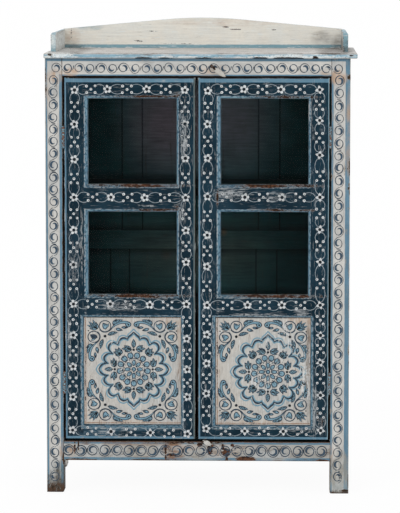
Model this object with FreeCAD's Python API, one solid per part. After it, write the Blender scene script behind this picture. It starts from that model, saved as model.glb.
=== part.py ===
import FreeCAD, Part

import math
import os

from FreeCAD import Vector

os.makedirs("parts", exist_ok=True)

# A two-door painted cupboard on four square legs, in millimetres.
# X runs left to right, Y from front to back and Z up, from the centre of the floor that it covers.

# Top board
top_width = 861.0
top_depth = 460.0
top_thickness = 15.0
overhang_left = 2.5
overhang_right = 18.5
overhang_front = 12.0
overhang_back = 8.0
nosing_radius = 5.0
nosing_under_radius = 3.0

# Corner posts, which are the legs
post_height = 1209.0
post_left_width = 48.0
post_right_width = 52.5
post_depth = 46.0
back_post_width = 26.0
post_arris_radius = 2.0
foot_radius = 5.0

# Front rails between the posts
leg_height = 90.5
bottom_rail_height = 53.5
bottom_rail_thickness = 32.0
header_height = 49.0
header_thickness = 40.0
door_stop_drop = 12.0

# Side and back frames
frame_thickness = 22.0
frame_inset = 3.0
frame_top_rail_height = 60.0
frame_mid_rail_bottom_share = 0.5299
frame_mid_rail_height = 53.0
back_bottom_rail_height = 67.5
board_thickness = 9.0
groove_depth = 9.0
board_let_in = 7.0

# Back muntins, each as the distance of its left edge from the left side of the body, and its width
upper_muntins = ((190.0, 55.0), (585.5, 58.0))
lower_muntins = ((155.5, 51.0), (578.5, 57.0))

# Mortise and tenon joints
tenon_thickness = 10.0
tenon_shoulder = 10.0
front_tenon_length = 30.0
side_tenon_length = 20.0
back_tenon_length = 16.0

# Floor and shelves
floor_thickness = 14.0
floor_board_count = 4
shelf_thickness = 16.0
lower_shelf_above_panel = 17.7
upper_shelf_above_pane = 58.6
shelf_setback = 34.0
shelf_end_clearance = 0.5
notch_clearance = 0.5
bearer_width = 20.0
bearer_height = 18.0

# Gallery on the top board
gallery_left_inset = 13.0
gallery_right_inset = 24.0
gallery_setback = 90.0
gallery_side_length = 342.0
gallery_side_height = 52.5
gallery_side_thickness = 14.3
gallery_corner_radius = 11.0
gallery_outer_radius = 6.0
gallery_back_thickness = 15.0
gallery_back_end_height = 54.5
gallery_back_rise = 32.0
gallery_crown_half_width = 110.0
gallery_housing_depth = 4.0
gallery_tail = 7.0

# Doors; pairs of sizes are for the left and the right side, as seen from the front
door_thickness = 24.0
hinge_gap = 4.2
meeting_gap = 6.9
door_gap_top = 4.5
door_gap_bottom = 8.0
door_stop_clearance = 0.5
left_door_stiles = (52.0, 40.4)
left_door_pane_margins = (14.4, 11.9)
right_door_stiles = (48.9, 50.1)
right_door_pane_margins = (14.9, 8.1)
door_bottom_rail = 39.7
door_lock_rail = 64.0
door_mid_rail = 77.0
door_top_rail = 57.1
lower_pane_share = 0.2992
upper_pane_share = 0.3082
door_tenon_length = 26.0
door_tenon_thickness = 8.0
door_tenon_shoulder = 10.0

# Bevels round the openings of a door
bevel_depth = 6.0
pane_bevel_left = 12.0
pane_bevel_right = 7.0
pane_bevel_bottom = 11.0
pane_bevel_top = 8.0
panel_bevel_left = 8.8
panel_bevel_right = 7.5
panel_bevel_bottom = 12.7
panel_bevel_top = 6.0

# Panel in the lower part of a door
panel_thickness = 9.0
panel_recess = 7.0
panel_let_in = 7.0
panel_groove_depth = 8.0

# Panes and the beads that hold them from inside
rebate_width = 6.0
rebate_front = 10.0
glass_thickness = 3.0
glass_clearance = 0.8
bead_back_width = 3.5
bead_flat = 4.0

# Butt hinges
hinge_length = 60.0
hinge_knuckle_radius = 4.0
hinge_middle_knuckle = 30.0
hinge_leaf_thickness = 1.4
hinge_leaf_depth = 22.0
hinge_pin_radius = 2.0
hinge_pin_clearance = 0.05
hinge_side_clearance = 0.3
hinge_stand_off = 0.3
hinge_pin_head_radius = 3.2
hinge_pin_head_height = 1.6
upper_hinge_from_door_top = 163.5
lower_hinge_from_door_bottom = 157.0
leaf_root_share = 0.62

# Turn-buttons and the nails that they turn on
button_thickness = 8.4
button_stand_off = 0.3
nail_radius = 1.75
nail_clearance = 0.05
nail_depth = 22.0
nail_head_radius = 3.8
nail_head_height = 2.0
nail_head_bevel = 1.2
top_button_length = 48.0
top_button_half_width = 7.2
top_button_from_left = 459.5
top_button_drop = 22.6
top_button_rest_angle = 54.0
bottom_button_length = 30.0
bottom_button_half_width = 6.6
bottom_button_from_left = 460.5
bottom_button_drop = 9.6
bottom_button_rest_angle = -119.0

# A turn-button's outline: the nail is in its knob, its leaf starts at the neck and ends at the tip.
# Each place is a share of the length, down from the nail, and each width is a share of the largest half width.
knob_top_share = 0.13
knob_side_shares = (0.72, 0.0)
neck_shares = (0.46, 0.18)
leaf_side_shares = (0.98, 0.44)
leaf_shoulder_shares = (0.84, 0.70)
leaf_taper_shares = (0.50, 0.88)
tip_shares = (0.14, 0.985)

# How near two coordinates count as one
match_tolerance = 0.001

# Faces and heights that follow from the sizes above
body_left = -top_width / 2 + overhang_left
body_right = top_width / 2 - overhang_right
body_front = -top_depth / 2 + overhang_front
body_back = top_depth / 2 - overhang_back
top_z = post_height + top_thickness
doorway_left = body_left + post_left_width
doorway_right = body_right - post_right_width
back_bay_left = body_left + back_post_width
back_bay_right = body_right - back_post_width
bottom_rail_top = leg_height + bottom_rail_height
header_bottom = post_height - header_height
door_bottom = bottom_rail_top + door_gap_bottom
door_top = header_bottom - door_gap_top
door_back = body_front + door_thickness
door_width = (doorway_right - doorway_left - 2 * hinge_gap - meeting_gap) / 2
front_posts_back = body_front + post_depth
back_posts_front = body_back - post_depth
frame_top_rail_bottom = post_height - frame_top_rail_height
frame_mid_rail_bottom = post_height * frame_mid_rail_bottom_share
frame_mid_rail_top = frame_mid_rail_bottom + frame_mid_rail_height
back_frame = (body_back - frame_inset - frame_thickness, body_back - frame_inset)
back_bottom_rail_top = leg_height + back_bottom_rail_height
floor_top = bottom_rail_top + floor_thickness
hinge_axis_y = body_front - hinge_knuckle_radius - hinge_stand_off

# The rails' heights are set, and the panes and the panel share what is left of a door's height
openings_height = door_top - door_bottom - door_top_rail - door_mid_rail - door_lock_rail - door_bottom_rail
upper_pane_top = door_top - door_top_rail
upper_pane_bottom = upper_pane_top - openings_height * upper_pane_share
lower_pane_top = upper_pane_bottom - door_mid_rail
lower_pane_bottom = lower_pane_top - openings_height * lower_pane_share
panel_top = lower_pane_bottom - door_lock_rail
panel_bottom = door_bottom + door_bottom_rail

# Heights that follow the doors and the rails
lower_shelf_top = panel_top + lower_shelf_above_panel
upper_shelf_top = lower_pane_top + upper_shelf_above_pane
upper_hinge_height = door_top - upper_hinge_from_door_top
lower_hinge_height = door_bottom + lower_hinge_from_door_bottom
top_button_height = post_height - top_button_drop
bottom_button_height = bottom_rail_top - bottom_button_drop


def block(x, y, z):
    """A square-cut piece between three pairs of faces."""
    return Part.makeBox(x[1] - x[0], y[1] - y[0], z[1] - z[0], Vector(x[0], y[0], z[0]))


def joined(pieces):
    """One solid from pieces that share faces."""
    return pieces[0].fuse(pieces[1:]).removeSplitter()


def centred(span, size):
    """The span of the given size in the middle of another span."""
    middle = (span[0] + span[1]) / 2
    return (middle - size / 2, middle + size / 2)


def edges_at(shape, **places):
    """The edges whose ends all lie at the given x, y or z."""
    def lies_there(edge):
        return all(abs(getattr(vertex, axis.upper()) - place) < match_tolerance
                   for vertex in edge.Vertexes for axis, place in places.items())
    return [edge for edge in shape.Edges if lies_there(edge)]


def save(name, pieces):
    """Write one node, as one solid or as a group of separate ones."""
    solids = [solid for piece in pieces for solid in piece.Solids]
    shape = solids[0] if len(solids) == 1 else Part.makeCompound(solids)
    shape.exportStep("parts/" + name + ".step")


def tenons_along_x(x, y, z, length, thickness, shoulder):
    """The two tenons of a rail that runs from left to right."""
    tongue_y = centred(y, thickness)
    tongue_z = (z[0] + shoulder, z[1] - shoulder)
    return [block((x[0] - length, x[0]), tongue_y, tongue_z), block((x[1], x[1] + length), tongue_y, tongue_z)]


def tenons_along_y(x, y, z, length, thickness, shoulder):
    """The two tenons of a rail that runs from front to back."""
    tongue_x = centred(x, thickness)
    tongue_z = (z[0] + shoulder, z[1] - shoulder)
    return [block(tongue_x, (y[0] - length, y[0]), tongue_z), block(tongue_x, (y[1], y[1] + length), tongue_z)]


def edge_grooves(x, y, z, edges):
    """Grooves for a board in a rail's top edge, bottom edge or both, down the middle of its thinner side."""
    runs_along_x = x[1] - x[0] > y[1] - y[0]
    groove_x = x if runs_along_x else centred(x, board_thickness)
    groove_y = centred(y, board_thickness) if runs_along_x else y
    spans = {"bottom": (z[0], z[0] + groove_depth), "top": (z[1] - groove_depth, z[1])}
    return [block(groove_x, groove_y, spans[edge]) for edge in edges]


def front_rails():
    """The header rail, with the rebate that stops the doors, and the bottom rail, and their tenons."""
    x = (doorway_left, doorway_right)
    header_y = (body_front, body_front + header_thickness)
    header_z = (header_bottom, post_height)
    header_tenons = tenons_along_x(x, header_y, header_z, front_tenon_length, tenon_thickness, tenon_shoulder)
    stop_y = (door_back + door_stop_clearance, header_y[1])
    stop = block(x, stop_y, (header_bottom - door_stop_drop, header_bottom))
    header = joined([block(x, header_y, header_z), stop] + header_tenons)

    bottom_y = (body_front, body_front + bottom_rail_thickness)
    bottom_z = (leg_height, bottom_rail_top)
    bottom_tenons = tenons_along_x(x, bottom_y, bottom_z, front_tenon_length, tenon_thickness, tenon_shoulder)
    bottom = joined([block(x, bottom_y, bottom_z)] + bottom_tenons)
    return header, bottom, header_tenons + bottom_tenons


def frame_rail_heights(bottom_rail_top_edge):
    """The heights of a side or back frame's rails, and which of their edges are grooved."""
    return (("bottom_rail", (leg_height, bottom_rail_top_edge), ("top",)),
            ("mid_rail", (frame_mid_rail_bottom, frame_mid_rail_top), ("top", "bottom")),
            ("top_rail", (frame_top_rail_bottom, post_height), ("bottom",)))


def side_frame_x(side):
    """Where the rails of the left or right side lie, between their outer and inner faces."""
    if side == "left":
        return (body_left + frame_inset, body_left + frame_inset + frame_thickness)
    return (body_right - frame_inset - frame_thickness, body_right - frame_inset)


def side_rails(side):
    """The rails of one side, each grooved for the boards, and all their tenons."""
    x = side_frame_x(side)
    y = (front_posts_back, back_posts_front)
    rails = {}
    tenons = []
    for name, z, grooved in frame_rail_heights(bottom_rail_top):
        tongues = tenons_along_y(x, y, z, side_tenon_length, tenon_thickness, tenon_shoulder)
        rails[name] = joined([block(x, y, z)] + tongues).cut(edge_grooves(x, y, z, grooved))
        tenons += tongues
    return rails, tenons


def back_rails():
    """The rails of the back, grooved for the boards and muntins, and all their tenons."""
    x = (back_bay_left, back_bay_right)
    rails = {}
    tenons = []
    for name, z, grooved in frame_rail_heights(back_bottom_rail_top):
        tongues = tenons_along_x(x, back_frame, z, back_tenon_length, tenon_thickness, tenon_shoulder)
        rails[name] = joined([block(x, back_frame, z)] + tongues).cut(edge_grooves(x, back_frame, z, grooved))
        tenons += tongues
    return rails, tenons


def frame_openings(bottom_rail_top_edge):
    """The two heights of a side or back frame that boards fill, lower then upper."""
    return ((bottom_rail_top_edge, frame_mid_rail_bottom), (frame_mid_rail_top, frame_top_rail_bottom))


def side_boards(side):
    """The lower and the upper board of one side, let into the rails and posts."""
    x = centred(side_frame_x(side), board_thickness)
    y = (front_posts_back - board_let_in, back_posts_front + board_let_in)
    return [block(x, y, (z[0] - board_let_in, z[1] + board_let_in)) for z in frame_openings(bottom_rail_top)]


def back_muntins_and_boards():
    """The upright muntins of the back, and the boards between them and the posts."""
    board_y = centred(back_frame, board_thickness)
    muntins = []
    boards = []
    for z, places in zip(frame_openings(back_bottom_rail_top), (lower_muntins, upper_muntins)):
        spans = [(body_left + start, body_left + start + width) for start, width in places]
        board_z = (z[0] - board_let_in, z[1] + board_let_in)
        for x in spans:
            tongue_z = (z[0] - groove_depth, z[1] + groove_depth)
            tongue = block(x, board_y, tongue_z)
            side_grooves = [block((x[0], x[0] + groove_depth), board_y, tongue_z),
                            block((x[1] - groove_depth, x[1]), board_y, tongue_z)]
            muntins.append(joined([block(x, back_frame, z), tongue]).cut(side_grooves))
        starts = [back_bay_left] + [x[1] for x in spans]
        ends = [x[0] for x in spans] + [back_bay_right]
        for start, end in zip(starts, ends):
            boards.append(block((start - board_let_in, end + board_let_in), board_y, board_z))
    return muntins, boards


def post_grooves():
    """Grooves in the posts for the side boards and the back boards, as long as the boards are."""
    grooves = []
    for low, high in frame_openings(bottom_rail_top):
        z = (low - groove_depth, high + groove_depth)
        for side in ("left", "right"):
            x = centred(side_frame_x(side), board_thickness)
            grooves.append(block(x, (front_posts_back - groove_depth, front_posts_back), z))
            grooves.append(block(x, (back_posts_front, back_posts_front + groove_depth), z))
    y = centred(back_frame, board_thickness)
    for low, high in frame_openings(back_bottom_rail_top):
        z = (low - groove_depth, high + groove_depth)
        grooves.append(block((back_bay_left - groove_depth, back_bay_left), y, z))
        grooves.append(block((back_bay_right, back_bay_right + groove_depth), y, z))
    return grooves


def post(x, y, outer_x, cuts):
    """One corner post, with a rounded outer arris and foot, mortised and grooved for what it holds."""
    z = (0, post_height)
    outer_y = y[0] if y[0] == body_front else y[1]
    wood = block(x, y, z)
    wood = wood.makeFillet(post_arris_radius, edges_at(wood, x=outer_x, y=outer_y))
    wood = wood.makeFillet(foot_radius, edges_at(wood, z=0, x=x[0] if outer_x == x[1] else x[1]))
    return wood.cut(cuts)


def posts(cuts):
    """The four corner posts by name. The back ones are thinner, so that the front ones hide them."""
    front = (body_front, front_posts_back)
    back = (back_posts_front, body_back)
    return {"post_front_left": post((body_left, doorway_left), front, body_left, cuts),
            "post_front_right": post((doorway_right, body_right), front, body_right, cuts),
            "post_back_left": post((body_left, back_bay_left), back, body_left, cuts),
            "post_back_right": post((back_bay_right, body_right), back, body_right, cuts)}


def post_notches():
    """The room that a shelf or floor leaves round the four posts."""
    z = (0, post_height)
    front = (body_front, front_posts_back + notch_clearance)
    back = (back_posts_front - notch_clearance, body_back)
    return [block((body_left, doorway_left + notch_clearance), front, z),
            block((doorway_right - notch_clearance, body_right), front, z),
            block((body_left, back_bay_left + notch_clearance), back, z),
            block((back_bay_right - notch_clearance, body_right), back, z)]


def inside_width():
    """From the inner face of the left side's rails to that of the right side's, less a clearance."""
    return (side_frame_x("left")[1] + shelf_end_clearance, side_frame_x("right")[0] - shelf_end_clearance)


def floor_boards():
    """The floor on the rails and bearers, as boards side by side; its front edge stops the doors."""
    front = door_back + door_stop_clearance
    width = (back_frame[0] - front) / floor_board_count
    z = (bottom_rail_top, floor_top)
    boards = []
    for place in range(floor_board_count):
        y = (front + place * width, front + (place + 1) * width)
        boards.append(block(inside_width(), y, z).cut(post_notches()))
    return boards


def shelf(top):
    """One shelf board, notched round the posts."""
    y = (body_front + shelf_setback, back_frame[0])
    return block(inside_width(), y, (top - shelf_thickness, top)).cut(post_notches())


def bearers():
    """The battens under the floor and the two shelves, along each side between the posts."""
    y = (front_posts_back, back_posts_front)
    battens = []
    for side, inward in (("left", 1), ("right", -1)):
        frame_x = side_frame_x(side)
        rail_face = frame_x[1] if side == "left" else frame_x[0]
        board_x = centred(frame_x, board_thickness)
        board_face = board_x[1] if side == "left" else board_x[0]
        for face, top in ((rail_face, bottom_rail_top), (board_face, lower_shelf_top - shelf_thickness),
                          (board_face, upper_shelf_top - shelf_thickness)):
            x = tuple(sorted((face, face + inward * bearer_width)))
            battens.append(block(x, y, (top - bearer_height, top)))
    return battens


def top_board():
    """The top board with its worn, rounded nosing."""
    x = (-top_width / 2, top_width / 2)
    y = (-top_depth / 2, top_depth / 2)
    board = block(x, y, (post_height, top_z))
    board = board.makeFillet(nosing_radius, edges_at(board, z=top_z))
    return board.makeFillet(nosing_under_radius, edges_at(board, z=post_height, y=y[0])
                            + edges_at(board, z=post_height, x=x[0]) + edges_at(board, z=post_height, x=x[1]))


def gallery():
    """The two low sides, rounded at the front and outside, and the arched back board housed between them."""
    left_outer = -top_width / 2 + gallery_left_inset
    right_outer = top_width / 2 - gallery_right_inset
    front = -top_depth / 2 + gallery_setback
    tail = front + gallery_side_length
    shoulder = top_z + gallery_side_height
    back_y = (tail - gallery_tail - gallery_back_thickness, tail - gallery_tail)
    sides = {}
    for name, x0, outer_x in (("left", left_outer, left_outer),
                              ("right", right_outer - gallery_side_thickness, right_outer)):
        side = block((x0, x0 + gallery_side_thickness), (front, tail), (top_z, shoulder))
        round_front = side.makeFillet(gallery_corner_radius, edges_at(side, y=front, z=shoulder))
        round_outside = side.makeFillet(gallery_outer_radius, edges_at(side, x=outer_x, z=shoulder))
        sides[name] = round_front.common(round_outside)

    x = (left_outer + gallery_side_thickness - gallery_housing_depth,
         right_outer - gallery_side_thickness + gallery_housing_depth)
    middle = (x[0] + x[1]) / 2
    half = (x[1] - x[0]) / 2
    end_z = top_z + gallery_back_end_height
    slope = gallery_back_rise / (half - gallery_crown_half_width / 2)
    crown_z = end_z + slope * (half - gallery_crown_half_width)
    apex_z = crown_z + gallery_crown_half_width * math.tan(math.atan(slope) / 2)
    low_left = Vector(x[0], back_y[0], top_z)
    low_right = Vector(x[1], back_y[0], top_z)
    high_left = Vector(x[0], back_y[0], end_z)
    high_right = Vector(x[1], back_y[0], end_z)
    crown_left = Vector(middle - gallery_crown_half_width, back_y[0], crown_z)
    crown_right = Vector(middle + gallery_crown_half_width, back_y[0], crown_z)
    apex = Vector(middle, back_y[0], apex_z)
    outline = Part.Wire([Part.makeLine(low_left, high_left), Part.makeLine(high_left, crown_left),
                         Part.Arc(crown_left, apex, crown_right).toShape(), Part.makeLine(crown_right, high_right),
                         Part.makeLine(high_right, low_right), Part.makeLine(low_right, low_left)])
    back = Part.Face(outline).extrude(Vector(0, gallery_back_thickness, 0))
    return sides["left"].cut(back), sides["right"].cut(back), back


class Opening:
    """One opening in a door: its clear width and height, and the widths of the bevel round it."""

    def __init__(self, x, z, bevel_left, bevel_right, bevel_bottom, bevel_top):
        self.x = x
        self.z = z
        self.bevel_left = bevel_left
        self.bevel_right = bevel_right
        self.bevel_bottom = bevel_bottom
        self.bevel_top = bevel_top

    def block(self, grow, y):
        """The opening as a block, grown by the same amount on its four sides."""
        return block((self.x[0] - grow, self.x[1] + grow), y, (self.z[0] - grow, self.z[1] + grow))

    def bevelled_hole(self, y):
        """What cuts the opening and its mitred bevel through a door."""
        front = ((self.x[0] - self.bevel_left, self.z[0] - self.bevel_bottom),
                 (self.x[1] + self.bevel_right, self.z[0] - self.bevel_bottom),
                 (self.x[1] + self.bevel_right, self.z[1] + self.bevel_top),
                 (self.x[0] - self.bevel_left, self.z[1] + self.bevel_top))
        behind = ((self.x[0], self.z[0]), (self.x[1], self.z[0]),
                  (self.x[1], self.z[1]), (self.x[0], self.z[1]))
        bevel = Part.makeLoft([loop_at(front, y[0]), loop_at(behind, y[0] + bevel_depth)], True, True)
        return [bevel, self.block(0, (y[0] + bevel_depth, y[1]))]


def loop_at(corners, y):
    """A closed loop through corners given by x and z."""
    points = [Vector(x, y, z) for x, z in corners]
    return Part.makePolygon(points + points[:1])


def prism(corners, y):
    """A piece with the outline of the given corners, from one y to another."""
    return Part.Face(loop_at(corners, y[0])).extrude(Vector(0, y[1] - y[0], 0))


class Door:
    """One door: where its edges and openings lie, and the pieces that make it."""

    def __init__(self, left_edge, stiles, pane_margins):
        """Set the door out from its left edge; stiles and margins are pairs, left and right."""
        self.y = (body_front, door_back)
        self.edges = (left_edge, left_edge + door_width)
        self.shoulders = (self.edges[0] + stiles[0], self.edges[1] - stiles[1])
        self.margins = pane_margins
        pane_x = (self.shoulders[0] + pane_margins[0], self.shoulders[1] - pane_margins[1])
        pane_bevel = (pane_bevel_left, pane_bevel_right, pane_bevel_bottom, pane_bevel_top)
        self.panes = {"lower": Opening(pane_x, (lower_pane_bottom, lower_pane_top), *pane_bevel),
                      "upper": Opening(pane_x, (upper_pane_bottom, upper_pane_top), *pane_bevel)}
        self.panel_opening = Opening(self.shoulders, (panel_bottom, panel_top), panel_bevel_left,
                                     panel_bevel_right, panel_bevel_bottom, panel_bevel_top)

    def mitre_drops(self, pane):
        """How far the mitres at a pane's corners run down and up, from its corners to the shoulders."""
        left_share = self.margins[0] / pane.bevel_left
        right_share = self.margins[1] / pane.bevel_right
        return {"bottom": (pane.bevel_bottom * left_share, pane.bevel_bottom * right_share),
                "top": (pane.bevel_top * left_share, pane.bevel_top * right_share)}

    def rail_outline(self, below, above, z):
        """A rail's corners; next to a pane its end is mitred, and elsewhere it is square."""
        low = [(self.shoulders[0], z[0]), (self.shoulders[1], z[0])]
        high = [(self.shoulders[1], z[1]), (self.shoulders[0], z[1])]
        if below:
            drops = self.mitre_drops(below)["top"]
            low = [(self.shoulders[0], z[0] + drops[0]), (below.x[0], z[0]),
                   (below.x[1], z[0]), (self.shoulders[1], z[0] + drops[1])]
        if above:
            drops = self.mitre_drops(above)["bottom"]
            high = [(self.shoulders[1], z[1] - drops[1]), (above.x[1], z[1]),
                    (above.x[0], z[1]), (self.shoulders[0], z[1] - drops[0])]
        return low + high

    def rails(self):
        """Each rail's outline, its tenons and its place, by name."""
        lower = self.panes["lower"]
        upper = self.panes["upper"]
        places = {"bottom_rail": (None, None, (door_bottom, panel_bottom)),
                  "lock_rail": (None, lower, (panel_top, lower_pane_bottom)),
                  "mid_rail": (lower, upper, (lower_pane_top, upper_pane_bottom)),
                  "top_rail": (upper, None, (upper_pane_top, door_top))}
        made = {}
        for name, (below, above, z) in places.items():
            outline = self.rail_outline(below, above, z)
            shoulder_heights = [height for x, height in outline if x in self.shoulders]
            middle = sum(z) / 2
            low = max(height for height in shoulder_heights if height < middle)
            high = min(height for height in shoulder_heights if height > middle)
            tongues = tenons_along_x(self.shoulders, self.y, (low, high), door_tenon_length,
                                     door_tenon_thickness, door_tenon_shoulder)
            made[name] = (prism(outline, self.y), tongues)
        return made

    def stiles(self):
        """The two stiles, each with the parts beside the panes that reach in past the shoulder."""
        height = (door_bottom, door_top)
        pieces = []
        for side in (0, 1):
            edge_to_shoulder = tuple(sorted((self.edges[side], self.shoulders[side])))
            reaches = []
            for pane in self.panes.values():
                drops = self.mitre_drops(pane)
                reaches.append(prism(((self.shoulders[side], pane.z[0] - drops["bottom"][side]),
                                      (pane.x[side], pane.z[0]), (pane.x[side], pane.z[1]),
                                      (self.shoulders[side], pane.z[1] + drops["top"][side])), self.y))
            pieces.append(joined([block(edge_to_shoulder, self.y, height)] + reaches))
        return pieces

    def frame(self):
        """The left stile, the right stile and the rails by name, with all their joints, bevels and rebates."""
        rails = self.rails()
        mortises = [tongue for rail, tongues in rails.values() for tongue in tongues]
        cuts = self.panel_opening.bevelled_hole(self.y)
        cuts.append(self.panel_opening.block(panel_groove_depth, self.panel_y()))
        for pane in self.panes.values():
            cuts += pane.bevelled_hole(self.y)
            cuts.append(pane.block(rebate_width, (self.y[0] + rebate_front, self.y[1])))
        left_stile, right_stile = [stile.cut(mortises + cuts) for stile in self.stiles()]
        made = {name: joined([rail] + tongues).cut(cuts) for name, (rail, tongues) in rails.items()}
        return left_stile, right_stile, made

    def panel_y(self):
        """Where the panel's face and back lie."""
        return (self.y[0] + panel_recess, self.y[0] + panel_recess + panel_thickness)

    def panel(self):
        """The board that is let into the grooves of the frame."""
        return self.panel_opening.block(panel_let_in, self.panel_y())

    def glass(self, pane):
        """One pane in its rebate."""
        front = self.y[0] + rebate_front
        return pane.block(rebate_width - glass_clearance, (front, front + glass_thickness))

    def beads(self, pane):
        """The four strips, mitred at the corners, that hold a pane in its rebate."""
        front = self.y[0] + rebate_front + glass_thickness
        section = ((0, front), (rebate_width, front), (rebate_width, front + bead_flat),
                   (bead_back_width, self.y[1]), (0, self.y[1]))
        loops = []
        for inset, y in section:
            grow = rebate_width - inset
            x = (pane.x[0] - grow, pane.x[1] + grow)
            z = (pane.z[0] - grow, pane.z[1] + grow)
            loops.append((Vector(x[0], y, z[0]), Vector(x[1], y, z[0]),
                          Vector(x[1], y, z[1]), Vector(x[0], y, z[1])))
        strips = []
        for corner in range(len(loops[0])):
            after = (corner + 1) % len(loops[0])
            ends = [Part.makePolygon([loop[place] for loop in loops] + [loops[0][place]])
                    for place in (corner, after)]
            strips.append(Part.makeLoft(ends, True, True))
        return strips


def hinges():
    """The four butt hinges: the leaves on the posts, the leaves on each door, and the pins."""
    frame_leaves = []
    door_leaves = {"left": [], "right": []}
    pins = []
    bore = hinge_pin_radius + hinge_pin_clearance
    root_y = hinge_axis_y + leaf_root_share * hinge_knuckle_radius
    leaf_y = (root_y, body_front + hinge_leaf_depth)
    end_knuckle = (hinge_length - hinge_middle_knuckle) / 2
    up = Vector(0, 0, 1)
    for side, post_face, door_face in (("left", doorway_left, doorway_left + hinge_gap),
                                       ("right", doorway_right, doorway_right - hinge_gap)):
        axis_x = (post_face + door_face) / 2
        toward_door = 1 if side == "left" else -1
        frame_x = tuple(sorted((post_face, post_face + toward_door * hinge_leaf_thickness)))
        door_x = tuple(sorted((door_face, door_face - toward_door * hinge_leaf_thickness)))
        for centre in (lower_hinge_height, upper_hinge_height):
            low = centre - hinge_length / 2
            high = centre + hinge_length / 2

            def barrel(start, end, hole):
                base = Vector(axis_x, hinge_axis_y, start)
                outer = Part.makeCylinder(hinge_knuckle_radius, end - start, base, up)
                return outer.cut(Part.makeCylinder(hole, end - start, base, up))

            frame_leaf = block(frame_x, leaf_y, (low, high))
            middle_room = Part.makeCylinder(hinge_knuckle_radius + hinge_side_clearance, hinge_middle_knuckle,
                                            Vector(axis_x, hinge_axis_y, low + end_knuckle), up)
            frame_leaf = frame_leaf.cut(middle_room)
            frame_leaves.append(joined([frame_leaf, barrel(low, low + end_knuckle, hinge_pin_radius),
                                        barrel(high - end_knuckle, high, hinge_pin_radius)]))

            door_leaf = block(door_x, leaf_y, (low, high))
            for start in (low - hinge_side_clearance, high - end_knuckle - hinge_side_clearance):
                end_room = Part.makeCylinder(hinge_knuckle_radius + hinge_side_clearance,
                                             end_knuckle + 2 * hinge_side_clearance,
                                             Vector(axis_x, hinge_axis_y, start), up)
                door_leaf = door_leaf.cut(end_room)
            middle = barrel(low + end_knuckle + hinge_side_clearance,
                            high - end_knuckle - hinge_side_clearance, bore)
            door_leaves[side].append(joined([door_leaf, middle]))

            shank = Part.makeCylinder(hinge_pin_radius, hinge_length, Vector(axis_x, hinge_axis_y, low), up)
            head = Part.makeCylinder(hinge_pin_head_radius, hinge_pin_head_height,
                                     Vector(axis_x, hinge_axis_y, high), up)
            pins.append(joined([shank, head]))
    return frame_leaves, door_leaves, pins


def button_outline(length, half_width, y):
    """The outline of a turn-button that hangs from its nail at the origin."""
    def place(side, shares):
        wide, along = shares
        return Vector(side * half_width * wide, y, -length * along)

    top = place(0, (0, -knob_top_share))
    right = [place(1, shares) for shares in (knob_side_shares, neck_shares, leaf_side_shares,
                                             leaf_shoulder_shares, leaf_taper_shares, tip_shares)]
    left = [place(-1, shares) for shares in (tip_shares, leaf_taper_shares, leaf_shoulder_shares,
                                             leaf_side_shares, neck_shares, knob_side_shares)]
    edges = [Part.Arc(top, right[0], right[1]), Part.Arc(right[1], right[2], right[3]),
             Part.Arc(right[3], right[4], right[5]), Part.LineSegment(right[5], left[0]),
             Part.Arc(left[0], left[1], left[2]), Part.Arc(left[2], left[3], left[4]),
             Part.Arc(left[4], left[5], top)]
    return Part.Wire([edge.toShape() for edge in edges])


def turn_button(length, half_width, from_left, height, rest_angle):
    """One flat wooden turn-button, turned to its rest angle, and the nail that it turns on."""
    back = body_front - button_stand_off
    face = back - button_thickness
    wood = Part.Face(button_outline(length, half_width, back)).extrude(Vector(0, -button_thickness, 0))
    hole = Part.makeCylinder(nail_radius + nail_clearance, button_thickness, Vector(0, face, 0), Vector(0, 1, 0))
    wood = wood.cut(hole)
    wood.rotate(Vector(0, 0, 0), Vector(0, 1, 0), -rest_angle)
    place = Vector(body_left + from_left, 0, height)
    wood.translate(place)

    head_back = face - button_stand_off
    shank = Part.makeCylinder(nail_radius, nail_depth + body_front - head_back, Vector(0, head_back, 0),
                              Vector(0, 1, 0))
    head = Part.makeCylinder(nail_head_radius, nail_head_height, Vector(0, head_back, 0), Vector(0, -1, 0))
    head = head.makeChamfer(nail_head_bevel, edges_at(head, y=head_back - nail_head_height))
    nail = joined([shank, head])
    nail.translate(place)
    return wood, nail


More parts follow.
